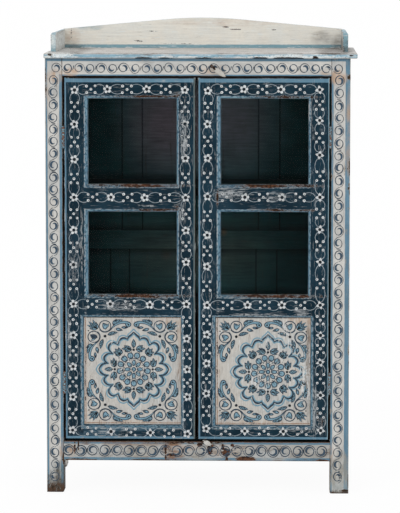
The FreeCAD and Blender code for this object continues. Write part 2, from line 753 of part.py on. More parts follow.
def build():
    """Make every node and write it."""
    header, bottom_rail, front_tenons = front_rails()
    left_rails, left_tenons = side_rails("left")
    right_rails, right_tenons = side_rails("right")
    rear_rails, rear_tenons = back_rails()
    cuts = front_tenons + left_tenons + right_tenons + rear_tenons + post_grooves()
    for name, wood in posts(cuts).items():
        save(name, [wood])

    top_button, top_nail = turn_button(top_button_length, top_button_half_width, top_button_from_left,
                                       top_button_height, top_button_rest_angle)
    bottom_button, bottom_nail = turn_button(bottom_button_length, bottom_button_half_width,
                                             bottom_button_from_left, bottom_button_height,
                                             bottom_button_rest_angle)
    save("top_turn_button", [top_button])
    save("bottom_turn_button", [bottom_button])
    save("turn_button_nails", [top_nail, bottom_nail])
    save("header_rail", [header.cut(top_nail)])
    save("bottom_rail", [bottom_rail.cut(bottom_nail)])

    for name, wood in left_rails.items():
        save("side_" + name + "_left", [wood])
    for name, wood in right_rails.items():
        save("side_" + name + "_right", [wood])
    for name, wood in rear_rails.items():
        save("back_" + name, [wood])
    for side in ("left", "right"):
        save("side_boards_" + side, side_boards(side))
    muntins, boards = back_muntins_and_boards()
    save("back_muntins", muntins)
    save("back_boards", boards)

    save("floor_boards", floor_boards())
    save("shelf_lower", [shelf(lower_shelf_top)])
    save("shelf_upper", [shelf(upper_shelf_top)])
    save("shelf_bearers", bearers())
    save("top_board", [top_board()])
    gallery_left, gallery_right, gallery_back = gallery()
    save("gallery_side_left", [gallery_left])
    save("gallery_side_right", [gallery_right])
    save("gallery_back", [gallery_back])

    doors = {"left": Door(doorway_left + hinge_gap, left_door_stiles, left_door_pane_margins),
             "right": Door(doorway_right - hinge_gap - door_width, right_door_stiles, right_door_pane_margins)}
    frame_leaves, door_leaves, pins = hinges()
    for side, door in doors.items():
        left_stile, right_stile, rails = door.frame()
        hinge_stile, meeting_stile = (left_stile, right_stile) if side == "left" else (right_stile, left_stile)
        save(side + "_door_hinge_stile", [hinge_stile])
        save(side + "_door_meeting_stile", [meeting_stile])
        for name, wood in rails.items():
            save(side + "_door_" + name, [wood])
        save(side + "_door_panel", [door.panel()])
        for place, pane in door.panes.items():
            save(side + "_door_" + place + "_glass", [door.glass(pane)])
            save(side + "_door_" + place + "_beads", door.beads(pane))
        save(side + "_door_hinge_leaves", door_leaves[side])
    save("hinge_frame_leaves", frame_leaves)
    save("hinge_pins", pins)


build()
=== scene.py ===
"""Looks of the painted cabinet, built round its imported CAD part.

The wood of every CAD node gets layered, worn paint from node-based materials. The ornament is raised paint:
thin closed pieces of mesh that lie on the wood and ride with the body that they are painted on. Lengths in
this script are millimetres in the part's frame, unless a name says otherwise. X is to the right, Y to the
back and Z up.
"""

from __future__ import annotations

import logging
import math
import random
from dataclasses import dataclass, field
from enum import Enum
from typing import Callable, Sequence

import bpy
from mathutils import Matrix, Vector

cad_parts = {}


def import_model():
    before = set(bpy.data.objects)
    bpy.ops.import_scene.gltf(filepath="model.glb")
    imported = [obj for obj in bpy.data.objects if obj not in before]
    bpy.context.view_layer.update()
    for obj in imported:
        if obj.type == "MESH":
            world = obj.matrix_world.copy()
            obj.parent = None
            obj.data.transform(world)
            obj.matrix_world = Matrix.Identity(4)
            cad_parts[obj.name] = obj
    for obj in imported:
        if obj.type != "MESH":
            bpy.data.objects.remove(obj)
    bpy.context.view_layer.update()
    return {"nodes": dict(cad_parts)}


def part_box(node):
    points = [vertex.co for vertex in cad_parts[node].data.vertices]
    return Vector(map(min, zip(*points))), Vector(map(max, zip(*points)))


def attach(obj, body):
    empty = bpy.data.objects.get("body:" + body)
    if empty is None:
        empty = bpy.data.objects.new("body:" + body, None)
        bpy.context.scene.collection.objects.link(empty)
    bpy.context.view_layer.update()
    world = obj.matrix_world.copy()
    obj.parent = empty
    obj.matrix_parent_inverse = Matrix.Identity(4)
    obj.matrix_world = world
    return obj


LOG = logging.getLogger("painted_cabinet")

MM = 0.001
FAR = 1e4  # Further away than any piece reaches
PAST_EDGE = 5.0  # How far a painted line at an edge runs past the edge
RELIEF = 0.35  # How strongly the paint's relief shows
Point = tuple[float, float]
Material = bpy.types.Material


# Colours, as they look on a screen from 0 to 255


class Hue(Enum):
    """The paints, woods and metals of the cabinet, and the colours of its painted shade."""

    CREAM = (198, 196, 191)
    CREAM_GREY = (173, 175, 174)
    CREAM_WARM = (186, 158, 134)
    CREAM_BARE = (158, 152, 142)
    PANEL_SCUFF = (200, 202, 202)
    PANEL_CREAM = (188, 184, 177)
    TOP_CREAM = (204, 200, 196)
    TOP_WHITE = (222, 226, 224)
    TOP_BLUE = (134, 168, 184)
    GALLERY_CREAM = (228, 224, 214)
    GALLERY_PALE = (222, 222, 216)
    GALLERY_BLUE = (126, 162, 174)
    LIGHT_BLUE = (92, 126, 146)
    PALE_BLUE = (130, 160, 172)
    GREY_GREEN = (90, 104, 106)
    SLATE = (44, 50, 58)
    COMMA_BLUE = (60, 82, 100)
    LINE_BLUE = (98, 138, 158)
    LEAF_BLUE = (108, 142, 160)
    LEAF_DARK = (30, 42, 54)
    NAVY = (14, 36, 48)
    NAVY_SOFT = (26, 52, 66)
    SCUFF = (156, 160, 162)
    MOTIF_WHITE = (206, 210, 212)
    MOTIF_LINE = (150, 160, 166)
    MOTIF_GREY = (150, 152, 152)
    MOTIF_BLACK = (8, 10, 12)
    # DARK_WOOD_AND_SHADE is bare dark wood, and also the painted shade in the gaps between parts.
    DARK_WOOD_AND_SHADE = (40, 28, 22)
    WOOD_BROWN = (92, 60, 42)
    WOOD_PALE = (140, 106, 78)
    RUST = (122, 74, 46)
    RIM_BROWN = (128, 90, 62)
    INSIDE_TEAL = (50, 118, 124)
    INSIDE_PLUM = (146, 120, 130)
    # INSIDE_TEAL_SHADED is the inside teal darkened: painted shade on the floor and the shelves.
    INSIDE_TEAL_SHADED = (28, 48, 52)
    INSIDE_BROWN = (100, 88, 78)
    # DIRT_AND_SHADE is dirt, and also the painted shadows along the panels' top and left edges.
    DIRT_AND_SHADE = (66, 58, 50)
    FOOT_DARK = (58, 48, 34)
    IRON = (66, 62, 60)
    GLASS_DUST = (150, 158, 160)
    FLOOR = (246, 246, 246)

    @property
    def rgba(self) -> tuple[float, float, float, float]:
        """The colour as linear light, with full opacity."""
        red, green, blue = (_linear(channel / 255) for channel in self.value)
        return (red, green, blue, 1.0)


def _linear(channel: float) -> float:
    """Turn a screen value from 0 to 1 into linear light."""
    if channel <= 0.04045:
        return channel / 12.92
    return ((channel + 0.055) / 1.055) ** 2.4


class Axis(Enum):
    """The way that a piece's grain runs."""

    X = (1.0, 0.0, 0.0)
    Y = (0.0, 1.0, 0.0)
    Z = (0.0, 0.0, 1.0)


class Way(Enum):
    """The ways that a face can look, each as the number of an axis and a sign."""

    LEFT = (0, -1)
    RIGHT = (0, 1)
    FRONT = (1, -1)
    BACK = (1, 1)
    DOWN = (2, -1)
    UP = (2, 1)


ALL_ROUND = (Way.LEFT, Way.RIGHT, Way.DOWN, Way.UP)


# Shader maths


class Value:
    """A number in a material's node tree; arithmetic on it adds nodes."""

    def __init__(self, graph: Graph, socket: bpy.types.NodeSocket) -> None:
        """Wrap an output socket.

        Args:
            graph: The node tree that the socket is in.
            socket: The output socket.
        """
        self.graph = graph
        self.socket = socket

    def _maths(self, operation: str, *operands: Value | float) -> Value:
        """Add one maths node, by Blender's name of the operation and its inputs in order."""
        node = self.graph.node("ShaderNodeMath", {"operation": operation}, dict(enumerate(operands)))
        return Value(self.graph, node.outputs[0])

    def __add__(self, other: Value | float) -> Value:
        return self._maths("ADD", self, other)

    __radd__ = __add__

    def __mul__(self, other: Value | float) -> Value:
        return self._maths("MULTIPLY", self, other)

    __rmul__ = __mul__

    def __sub__(self, other: Value | float) -> Value:
        return self._maths("SUBTRACT", self, other)

    def __rsub__(self, other: Value | float) -> Value:
        return self._maths("SUBTRACT", other, self)

    def __truediv__(self, other: Value | float) -> Value:
        return self._maths("DIVIDE", self, other)

    def __neg__(self) -> Value:
        return self * -1.0

    def __abs__(self) -> Value:
        return self._maths("ABSOLUTE", self)

    def least(self, other: Value | float) -> Value:
        """The smaller of two values."""
        return self._maths("MINIMUM", self, other)

    def most(self, other: Value | float) -> Value:
        """The larger of two values."""
        return self._maths("MAXIMUM", self, other)

    def above(self, edge: Value | float, soft: float) -> Value:
        """A smooth step, 0 below the edge and 1 above it.

        Args:
            edge: Where the step's middle is.
            soft: Half of the step's width.

        Returns:
            The step, from 0 to 1.
        """
        inputs = {"Value": self - edge, "From Min": -soft, "From Max": soft}
        node = self.graph.node("ShaderNodeMapRange", {"interpolation_type": "SMOOTHSTEP"}, inputs)
        return Value(self.graph, node.outputs["Result"])

    def below(self, edge: Value | float, soft: float) -> Value:
        """A smooth step, 1 below the edge and 0 above it."""
        return 1.0 - self.above(edge, soft)

    def within(self, low: float, high: float, soft: float) -> Value:
        """1 between two edges and 0 outside them."""
        return self.above(low, soft) * self.below(high, soft)


class Colour:
    """A colour in a material's node tree."""

    def __init__(self, graph: Graph, source: bpy.types.NodeSocket | Hue) -> None:
        """Wrap a colour.

        Args:
            graph: The node tree.
            source: An output socket, or a named colour.
        """
        self.graph = graph
        self.source = source

    @property
    def plug(self) -> bpy.types.NodeSocket | tuple[float, ...]:
        """What to put into a colour input."""
        return self.source.rgba if isinstance(self.source, Hue) else self.source

    def under(self, other: Colour | Hue, cover: Value | float) -> Colour:
        """This colour with another laid over it.

        Args:
            other: The colour on top.
            cover: How much of it covers this one, from 0 to 1.

        Returns:
            The mixed colour.
        """
        top = other if isinstance(other, Colour) else Colour(self.graph, other)
        node = self.graph.node("ShaderNodeMix", {"data_type": "RGBA"}, {0: cover, 6: self.plug, 7: top.plug})
        return Colour(self.graph, node.outputs[2])

    def lit(self, factor: Value | float) -> Colour:
        """This colour made lighter or darker by a factor."""
        plug = self.source.rgba[:3] if isinstance(self.source, Hue) else self.source
        node = self.graph.node("ShaderNodeVectorMath", {"operation": "SCALE"}, {0: plug, "Scale": factor})
        return Colour(self.graph, node.outputs[0])


class Graph:
    """One material's node tree, with the coordinates that its patterns are made from."""

    def __init__(self, name: str) -> None:
        """Start an empty material.

        Args:
            name: The material's name.
        """
        self.material = bpy.data.materials.new(name)
        self.material.use_nodes = True
        self.tree = self.material.node_tree
        self.tree.nodes.clear()
        texture = self.node("ShaderNodeTexCoord")
        self.normal = self._parts(texture.outputs["Normal"])
        in_metres = {0: texture.outputs["Object"], "Scale": 1 / MM}
        self.place = self.node("ShaderNodeVectorMath", {"operation": "SCALE"}, in_metres).outputs[0]
        self.x, self.y, self.z = self._parts(self.place)

    def _parts(self, socket: bpy.types.NodeSocket) -> tuple[Value, Value, Value]:
        """The three components of a vector socket."""
        node = self.node("ShaderNodeSeparateXYZ", {}, {0: socket})
        return tuple(Value(self, output) for output in node.outputs)

    def node(self, kind: str, settings: dict | None = None, inputs: dict | None = None) -> bpy.types.Node:
        """Add one node.

        Args:
            kind: Blender's type name of the node.
            settings: The node's own settings by name.
            inputs: Values, sockets, numbers or colours by input name or number.

        Returns:
            The node.
        """
        made = self.tree.nodes.new(kind)
        for key, setting in (settings or {}).items():
            setattr(made, key, setting)
        for key, given in (inputs or {}).items():
            if isinstance(given, Value):
                given = given.socket
            elif isinstance(given, Colour):
                given = given.plug
            elif isinstance(given, Hue):
                given = given.rgba
            if isinstance(given, bpy.types.NodeSocket):
                self.tree.links.new(given, made.inputs[key])
            else:
                made.inputs[key].default_value = given
        return made

    def noise(self, size: float, stretch: Axis | None = None, ratio: float = 1.0, detail: float = 3.0,
              shift: float = 0.0) -> Value:
        """A cloudy pattern from 0 to 1.

        Args:
            size: How large its features are.
            stretch: The axis that the features are drawn out along, if any.
            ratio: How many times longer they are along that axis.
            detail: How many finer layers it has.
            shift: Moves the pattern, so that two of the same size differ.

        Returns:
            The pattern's value.
        """
        scales = [1 / size] * 3
        if stretch is not None:
            scales = [scale / (ratio if part else 1.0) for scale, part in zip(scales, stretch.value)]
        moved = (shift, shift * 0.7, -shift)
        mapping = self.node("ShaderNodeMapping", {},
                            {"Vector": self.place, "Location": moved, "Scale": scales})
        texture = self.node("ShaderNodeTexNoise", {}, {
            "Vector": mapping.outputs[0], "Scale": 1.0, "Detail": detail, "Roughness": 0.55})
        return Value(self, texture.outputs["Fac"])

    def spot(self, centre: Point, radii: Point) -> Value:
        """1 in the middle of an upright ellipse that faces the front, falling to 0 at its rim."""
        across = (self.x - centre[0]) / radii[0]
        up = (self.z - centre[1]) / radii[1]
        return (1.0 - (across * across + up * up)).most(0.0)

    def worst(self, patches: Sequence[Patch]) -> Value | float:
        """The strongest of some patches at each place, and 0 away from all of them."""
        found: Value | float = 0.0
        for patch in patches:
            found = (self.spot(patch.centre, patch.radii) * patch.strength).most(found)
        return found

    def edge_distance(self, low: Vector, high: Vector) -> Value:
        """How far a point on a box's surface is from the nearest edge of the box.

        Args:
            low: The box's lowest corner.
            high: The box's highest corner.

        Returns:
            The distance.
        """
        middle = (low + high) / 2
        half = (high - low) / 2
        depths = [half[i] - abs(part - middle[i]) for i, part in enumerate((self.x, self.y, self.z))]
        nearest = depths[0].least(depths[1])
        next_one = depths[0].most(depths[1])
        return nearest.most(next_one.least(depths[2]))

    def facing(self) -> Value:
        """1 on faces that look to the front."""
        return (-self.normal[1]).above(0.97, 0.01)

    def faces(self, ways: Sequence[Way]) -> Value:
        """1 on faces that look one of some ways."""
        axis, sign = ways[0].value
        looks = self.normal[axis] * sign
        for way in ways[1:]:
            axis, sign = way.value
            looks = looks.most(self.normal[axis] * sign)
        return looks.above(0.6, 0.1)

    def surface(self, colour: Colour, roughness: Value | float, height: Value, alpha: Value | None = None,
                metallic: float = 0.0, gloss: float = 0.2) -> Material:
        """Finish the material.

        Args:
            colour: Its colour.
            roughness: Its roughness.
            height: Its relief in mm, for the bump.
            alpha: Its opacity.
            metallic: 1 for metal.
            gloss: How strongly it mirrors.

        Returns:
            The material.
        """
        bump = self.node("ShaderNodeBump", {}, {"Strength": RELIEF, "Distance": MM, "Height": height})
        inputs: dict = {"Base Color": colour, "Roughness": roughness, "Metallic": metallic,
                        "Specular IOR Level": gloss, "Normal": bump.outputs[0]}
        if alpha is not None:
            inputs["Alpha"] = alpha
        shader = self.node("ShaderNodeBsdfPrincipled", {}, inputs)
        output = self.node("ShaderNodeOutputMaterial")
        self.tree.links.new(shader.outputs[0], output.inputs[0])
        return self.material


class Grain:
    """The patterns of one piece of wood, most of them drawn out along its grain."""

    def __init__(self, graph: Graph, axis: Axis) -> None:
        """Add the patterns.

        Args:
            graph: The material's node tree.
            axis: The way that the grain runs.
        """
        self.cloud = graph.noise(60.0, detail=2.0)
        self.streak = graph.noise(5.0, axis, 14.0, detail=4.0)
        self.fibre = graph.noise(1.1, axis, 30.0, detail=2.0, shift=7.0)
        self.speck = graph.noise(1.6, detail=2.0, shift=3.0)
        self.mottle = graph.noise(4.4, axis, 1.7, detail=3.0, shift=23.0)
        self.flake = graph.noise(14.0, axis, 2.6, detail=6.0, shift=13.0)
        self.scratch = graph.noise(1.6, axis, 26.0, detail=3.0, shift=19.0)
        self.split = graph.noise(1.3, axis, 26.0, detail=1.0, shift=31.0)
        self.wander = (graph.noise(22.0, detail=2.0, shift=11.0) - 0.5) * 3.0 + (self.speck - 0.5) * 1.6


# Finishes


@dataclass(frozen=True)
class Band:
    """A painted line on a front face.

    Attributes:
        axis: The axis across it, x or z.
        low: Where it starts along that axis.
        high: Where it ends along that axis.
        hue: Its colour.
        window: Where it starts and ends along the other axis.
    """

    axis: str
    low: float
    high: float
    hue: Hue
    window: tuple[float, float] = (-FAR, FAR)


def edge_band(axis: str, edge: float, width: float, hue: Hue,
              window: tuple[float, float] = (-FAR, FAR)) -> Band:
    """A painted line along the edge of a face.

    Args:
        axis: The axis across it, x or z.
        edge: Where the edge is along that axis.
        width: Its width, above 0 for a line that starts at the edge and below 0 for one that ends there.
        hue: Its colour.
        window: Where it starts and ends along the other axis.

    Returns:
        The line.
    """
    low, high = sorted((edge - math.copysign(PAST_EDGE, width), edge + width))
    return Band(axis, low, high, hue, window)


@dataclass(frozen=True)
class Patch:
    """A place where the paint is more worn or stained, as an upright ellipse on the front.

    Attributes:
        centre: Its middle in x and z.
        radii: Half of its width and height.
        strength: How strong the wear or the stain is.
        hue: A stain's colour.
    """

    centre: Point
    radii: Point
    strength: float = 1.0
    hue: Hue = Hue.CREAM_WARM


@dataclass(frozen=True)
class WoodPaint:
    """One coat of old paint on wood.

    Attributes:
        ground: The main colour.
        aged: The colour that it has turned in clouds.
        under: What shows where the coat is rubbed.
        wood: What shows where it has chipped off.
        rub: How much of it is rubbed, from 0 to 1.
        chip: How much of it is chipped, from 0 to 1.
        edge_chip: How much more it chips along its edges.
        grime: How much dirt lies in it.
        crack: How much fine cracking along the grain it has.
        crest: The colour of its upper faces, if they differ.
        bands: Painted lines on its front.
        stained: Places where it has turned.
        rubbed: Places where it is rubbed more.
        chipped: Places where it is chipped more.
        moulding: The colour of the bevels round a door's openings, if the wood has any.
        inside_ways: The ways that its faces inside the cabinet look, if it has any.
        inside_from: Where the inside starts in y.
        inside_above: Where the inside starts in z.
        shaded_edge_ways: The ways that its edge faces look. These are painted dark: painted shade of the gaps
            beside them, and dirt.
        foot: How high up from the floor it is dirty.
        roughness: The paint's roughness.
        gloss: How strongly it mirrors.
    """

    ground: Hue = Hue.CREAM
    aged: Hue = Hue.CREAM_GREY
    under: Hue = Hue.CREAM_BARE
    wood: Hue = Hue.WOOD_BROWN
    rub: float = 0.3
    chip: float = 0.2
    edge_chip: float = 0.6
    grime: float = 0.3
    crack: float = 0.3
    crest: Hue | None = None
    bands: tuple[Band, ...] = ()
    stained: tuple[Patch, ...] = ()
    rubbed: tuple[Patch, ...] = ()
    chipped: tuple[Patch, ...] = ()
    moulding: Hue | None = None
    inside_ways: tuple[Way, ...] = ()
    inside_from: float = -FAR
    inside_above: float = -FAR
    shaded_edge_ways: tuple[Way, ...] = ()
    foot: float = 0.0
    roughness: float = 0.62
    gloss: float = 0.2

    def make(self, name: str, grain: Axis, low: Vector, high: Vector) -> Material:
        """Build the material for one piece of wood.

        Args:
            name: The material's name.
            grain: The way that the grain runs.
            low: The piece's lowest corner.
            high: The piece's highest corner.

        Returns:
            The material.
        """
        g = Graph(name)
        wood = Grain(g, grain)
        colour = Colour(g, self.ground).under(self.aged, wood.cloud.above(0.52, 0.16) * 0.75)
        if self.crest is not None:
            colour = colour.under(self.crest, (g.normal[2] + (wood.speck - 0.5) * 0.5).above(0.35, 0.1))
        # Edge faces that look these ways are painted dark: painted shade of the gaps beside them, and dirt.
        if self.shaded_edge_ways:
            edge_shade_coat = Colour(g, Hue.DARK_WOOD_AND_SHADE).under(Hue.GREY_GREEN, wood.mottle.above(0.6, 0.06) * 0.5)
            colour = colour.under(edge_shade_coat, g.faces(self.shaded_edge_ways))
        facing = g.facing()
        for band in self.bands:
            along = g.x if band.axis == "x" else g.z
            other = g.z if band.axis == "x" else g.x
            cover = (along + wood.wander * 0.5).within(band.low, band.high, 0.5) * facing
            if band.window != (-FAR, FAR):
                cover = cover * other.within(band.window[0], band.window[1], 0.5)
            colour = colour.under(band.hue, cover)
        if self.moulding is not None:
            colour = self._mould(g, colour, wood, g.y - low.y)
        if self.inside_ways:
            teal = Colour(g, Hue.INSIDE_TEAL).under(Hue.INSIDE_BROWN, wood.cloud.above(0.55, 0.1) * 0.6)
            colour = colour.under(teal, g.faces(self.inside_ways) * g.y.above(self.inside_from, 0.8)
                                  * g.z.above(self.inside_above, 0.8))
        return self._age(g, colour, wood, g.edge_distance(low, high).below(2.2, 2.2))

    def _mould(self, g: Graph, colour: Colour, wood: Grain, depth: Value) -> Colour:
        """Paint the bevels round a door's openings, with a scuffed outer arris and a dark inner one."""
        slope = (-g.normal[1]).within(0.45, 0.955, 0.01)
        lip = abs(g.normal[1]).below(0.4, 0.05) * depth.within(3.0, 10.5, 0.3)
        coat = Colour(g, self.moulding).under(Hue.PALE_BLUE, wood.streak.above(0.56, 0.05) * 0.6)
        coat = coat.under(Hue.NAVY_SOFT, wood.mottle.below(0.45, 0.05) * 0.7)
        outer = (depth + wood.wander * 0.6).below(1.6, 0.5) * wood.mottle.above(0.5, 0.05)
        inner = (depth + wood.wander * 0.8).above(4.9, 0.6) * wood.mottle.above(0.45, 0.06)
        coat = coat.under(Hue.SCUFF, outer * 0.85).under(Hue.DARK_WOOD_AND_SHADE, inner * 0.8)
        # Bevels that look up are darkened: painted shade.
        faces_up_shade = g.normal[2].above(0.2, 0.1)
        coat = coat.lit(1.0 - 0.32 * faces_up_shade)
        return colour.under(coat, slope).under(Hue.GREY_GREEN, lip)

    def _age(self, g: Graph, colour: Colour, wood: Grain, near_edge: Value) -> Material:
        """Rub, chip and dirty the painted colour, more so near the piece's edges, and finish the material."""
        rub_place = wood.streak * 0.5 + wood.flake * 0.5 + (wood.fibre - 0.5) * 0.12 + near_edge * 0.07
        chip_place = wood.flake * 0.28 + wood.streak * 0.2 + wood.mottle * 0.3 + wood.speck * 0.22
        not_back = (-g.normal[1]).above(-0.3, 0.1)
        chip_place = chip_place + near_edge * (0.09 * self.edge_chip)
        chip_place = chip_place + 0.15 * g.worst(self.chipped) * not_back
        most_rubbed = g.worst(self.rubbed) * not_back
        rub_place = rub_place + 0.11 * most_rubbed
        scratch = wood.scratch + 0.13 * most_rubbed
        rubbed = rub_place.above(0.70 - 0.14 * self.rub, 0.03) * wood.mottle.above(0.4, 0.08) * 0.85
        scratched = scratch.above(0.65 - 0.05 * self.rub, 0.04) * wood.mottle.above(0.45, 0.06) * 0.75
        chipped = chip_place.above(0.665 - 0.09 * self.chip, 0.01)
        primer = chip_place.above(0.643 - 0.09 * self.chip, 0.01) * 0.7
        for patch in self.stained:
            soak = g.spot(patch.centre, patch.radii) * (wood.flake * 4.4 - 1.4) * not_back * patch.strength
            colour = colour.under(patch.hue, soak.most(0.0).least(0.85))
        split = wood.split.above(0.75 - 0.06 * self.crack, 0.02) * wood.flake.above(0.5, 0.05)
        colour = colour.under(Hue.WOOD_BROWN, split * (0.75 * self.crack))
        bare = Colour(g, self.wood).under(Hue.DARK_WOOD_AND_SHADE, wood.mottle.above(0.48, 0.1))
        dirt = near_edge * 0.35 + wood.speck.above(0.58, 0.06) * 0.3 + wood.flake.above(0.56, 0.1) * 0.22
        dirt = dirt * self.grime
        if self.foot > 0:
            reach = g.z + (wood.mottle - 0.5) * (2.2 * self.foot)
            dirt = dirt + reach.below(self.foot * 0.8, self.foot * 0.6) * 0.8
            bare = bare.under(Hue.FOOT_DARK, 0.5)
            chipped = chipped.most(reach.below(self.foot * 0.32, self.foot * 0.1) * 0.9)
        colour = colour.under(self.under, rubbed.most(scratched).most(primer))
        colour = colour.lit(0.66 + 0.36 * wood.streak + 0.16 * wood.mottle + 0.16 * wood.speck)
        colour = colour.under(Hue.DIRT_AND_SHADE, dirt.least(0.85)).under(bare, chipped)
        roughness = self.roughness + rubbed * 0.12 + chipped * 0.2 + (wood.speck - 0.5) * 0.1
        height = (1.0 - chipped) * 0.22 + wood.streak * 0.12 + wood.fibre * 0.06 + wood.speck * 0.05
        return g.surface(colour, roughness, height - rubbed * 0.05, gloss=self.gloss)


@dataclass(frozen=True)
class InsideCoat:
    """Thin paint on the wood inside the cabinet, and bare wood on the side that looks out.

    Attributes:
        coat: The paint.
        light: The bare wood's early colour.
        dark: The bare wood's late colour.
        outward: The axis that the bare faces look along, and how soon a face that leans that way is bare.
        light_pools: Painted pools of light, lighter places where light comes in through the panes, each with
            the colour that the paint has turned there.
        joints: Where upright joints are in x, and where each starts and ends in z. Dirt lies along them.
        shaded_ledges: Where level joints and shelves are in z. It is darker along them: painted shade by the
            shelves and under the header rail, and dirt in the joints.
        side_shade: How much painted shade darkens it towards the sides of the cabinet.
    """

    coat: Hue = Hue.INSIDE_TEAL
    light: Hue = Hue.WOOD_PALE
    dark: Hue = Hue.WOOD_BROWN
    outward: tuple[int, float] = (1, 1.0)
    light_pools: tuple[Patch, ...] = ()
    joints: tuple[tuple[float, float, float], ...] = ()
    shaded_ledges: tuple[float, ...] = ()
    side_shade: float = 0.55

    def make(self, name: str, grain: Axis) -> Material:
        """Build the material for one piece.

        Args:
            name: The material's name.
            grain: The way that its grain runs.

        Returns:
            The material.
        """
        g = Graph(name)
        rings = g.noise(9.0, grain, 18.0, detail=4.0)
        fibre = g.noise(0.9, grain, 40.0, detail=2.0, shift=5.0)
        brush = g.noise(5.0, Axis.X, 16.0, detail=4.0, shift=9.0)
        cloud = g.noise(70.0, detail=3.0, shift=2.0)
        wood = Colour(g, self.light).under(self.dark, rings.above(0.5, 0.12) * 0.8).lit(0.8 + 0.4 * fibre)

        coat = Colour(g, self.coat)
        sideways = g.x / 400.0
        # Darker towards the sides of the cabinet: painted shade.
        shade = (0.1 + 1.0 * brush + 0.8 * cloud) * (1.0 - self.side_shade * (sideways * sideways).least(1.0))
        # Lighter, and tinted, in the pools of light: painted light.
        if self.light_pools:
            lift: Value | float = 0.0
            for patch in self.light_pools:
                spot = g.spot(patch.centre, patch.radii)
                spot = spot * spot
                coat = coat.under(patch.hue, spot * patch.strength)
                lift = spot.most(lift)
            shade = shade * (0.5 + 1.3 * lift)
        coat = coat.under(Hue.INSIDE_BROWN, (fibre * 0.4 + rings * 0.6).above(0.62, 0.03) * 0.5)
        for place, start, end in self.joints:
            shade = shade * (1.0 - 0.7 * abs(g.x - place).below(3.5, 2.5) * g.z.within(start, end, 2.0))
        # Darker along the shelves and under the header rail: painted shade; darker along the rails' joints:
        # dirt.
        for ledge in self.shaded_ledges:
            shade = shade * (0.4 + 0.6 * abs(g.z - ledge).above(14.0, 14.0))
        painted = 1.0 - (g.normal[self.outward[0]] * self.outward[1]).above(0.5, 0.2)
        colour = wood.under(coat.lit(shade), painted)
        return g.surface(colour, 0.72 + (fibre - 0.5) * 0.2, rings * 0.25 + fibre * 0.12, gloss=0.05)


@dataclass(frozen=True)
class BrushPaint:
    """The raised paint of an ornament.

    Attributes:
        hue: Its colour.
        shade: The colour that thin or dirty paint turns to.
        lost: How much of it has gone, from 0 to 1.
        grain: The way that the losses run.
        worn: Places where more of it has gone.
    """

    hue: Hue
    shade: Hue
    lost: float = 0.3
    grain: Axis = Axis.Z
    worn: tuple[Patch, ...] = ()

    def make(self, name: str) -> Material:
        """Build the material.

        Args:
            name: The material's name.

        Returns:
            The material.
        """
        g = Graph(name)
        streak = g.noise(5.0, self.grain, 14.0, detail=4.0)
        speck = g.noise(1.3, detail=3.0, shift=4.0)
        mottle = g.noise(3.6, self.grain, 2.2, detail=3.0, shift=17.0)
        gone = streak * 0.4 + speck * 0.25 + mottle * 0.35 + 0.13 * g.worst(self.worn)
        alpha = gone.below(0.73 - 0.2 * self.lost, 0.015)
        colour = Colour(g, self.hue).under(self.shade, (gone.above(0.5, 0.12) * 0.6)).lit(0.9 + 0.2 * speck)
        return g.surface(colour, 0.6, speck * 0.1 + streak * 0.1, alpha)


def glass_material(name: str) -> Material:
    """Old window glass: clear, with a dull sheen and patchy dust.

    Args:
        name: The material's name.

    Returns:
        The material.
    """
    g = Graph(name)
    ripple = g.noise(70.0, Axis.Z, 2.0, detail=1.0)
    dust = g.noise(18.0, detail=5.0, shift=8.0)
    sheen = Colour(g, Hue.GLASS_DUST).lit(0.25)
    bump = g.node("ShaderNodeBump", {}, {"Strength": 0.15, "Distance": MM, "Height": ripple})
    film = g.node("ShaderNodeBsdfPrincipled", {}, {
        "Base Color": sheen, "Roughness": 0.12, "Normal": bump.outputs[0], "Specular IOR Level": 0.5})
    clear = g.node("ShaderNodeBsdfTransparent", {}, {"Color": (0.86, 0.9, 0.9, 1.0)})
    mix = g.node("ShaderNodeMixShader", {}, {0: 0.02 + dust.above(0.62, 0.15) * 0.03})
    output = g.node("ShaderNodeOutputMaterial")
    g.tree.links.new(clear.outputs[0], mix.inputs[1])
    g.tree.links.new(film.outputs[0], mix.inputs[2])
    g.tree.links.new(mix.outputs[0], output.inputs[0])
    return g.material


def iron_material(name: str, paint: Hue | None) -> Material:
    """Dull iron, with the remains of paint on it.

    Args:
        name: The material's name.
        paint: The paint's colour, if any.

    Returns:
        The material.
    """
    g = Graph(name)
    blotch = g.noise(5.0, detail=4.0)
    speck = g.noise(1.2, detail=3.0, shift=6.0)
    colour = Colour(g, Hue.IRON).under(Hue.RUST, blotch.above(0.54, 0.08) * 0.8)
    if paint is not None:
        colour = colour.under(paint, (blotch * 0.6 + speck * 0.4).below(0.48, 0.02))
    return g.surface(colour, 0.55 + speck * 0.2, blotch * 0.2 + speck * 0.1, metallic=0.35)


# Brush strokes as mesh


def smooth(points: Sequence[Point], steps: int = 7) -> list[Point]:
    """A smooth open curve through points.

    Args:
        points: The points that it passes.
        steps: How many short lines stand for the curve between two of them.

    Returns:
        The curve's points.
    """
    first = (2 * points[0][0] - points[1][0], 2 * points[0][1] - points[1][1])
    last = (2 * points[-1][0] - points[-2][0], 2 * points[-1][1] - points[-2][1])
    line = [first, *points, last]
    curve: list[Point] = []
    for i in range(1, len(line) - 2):
        before, start, end, after = (Vector(line[j]) for j in range(i - 1, i + 3))
        for step in range(steps):
            t = step / steps
            squared = (2 * before - 5 * start + 4 * end - after) * t * t
            cubed = (3 * start - before - 3 * end + after) * t ** 3
            place = 0.5 * (2 * start + (end - before) * t + squared + cubed)
            curve.append((place.x, place.y))
    curve.append(tuple(points[-1]))
    return curve


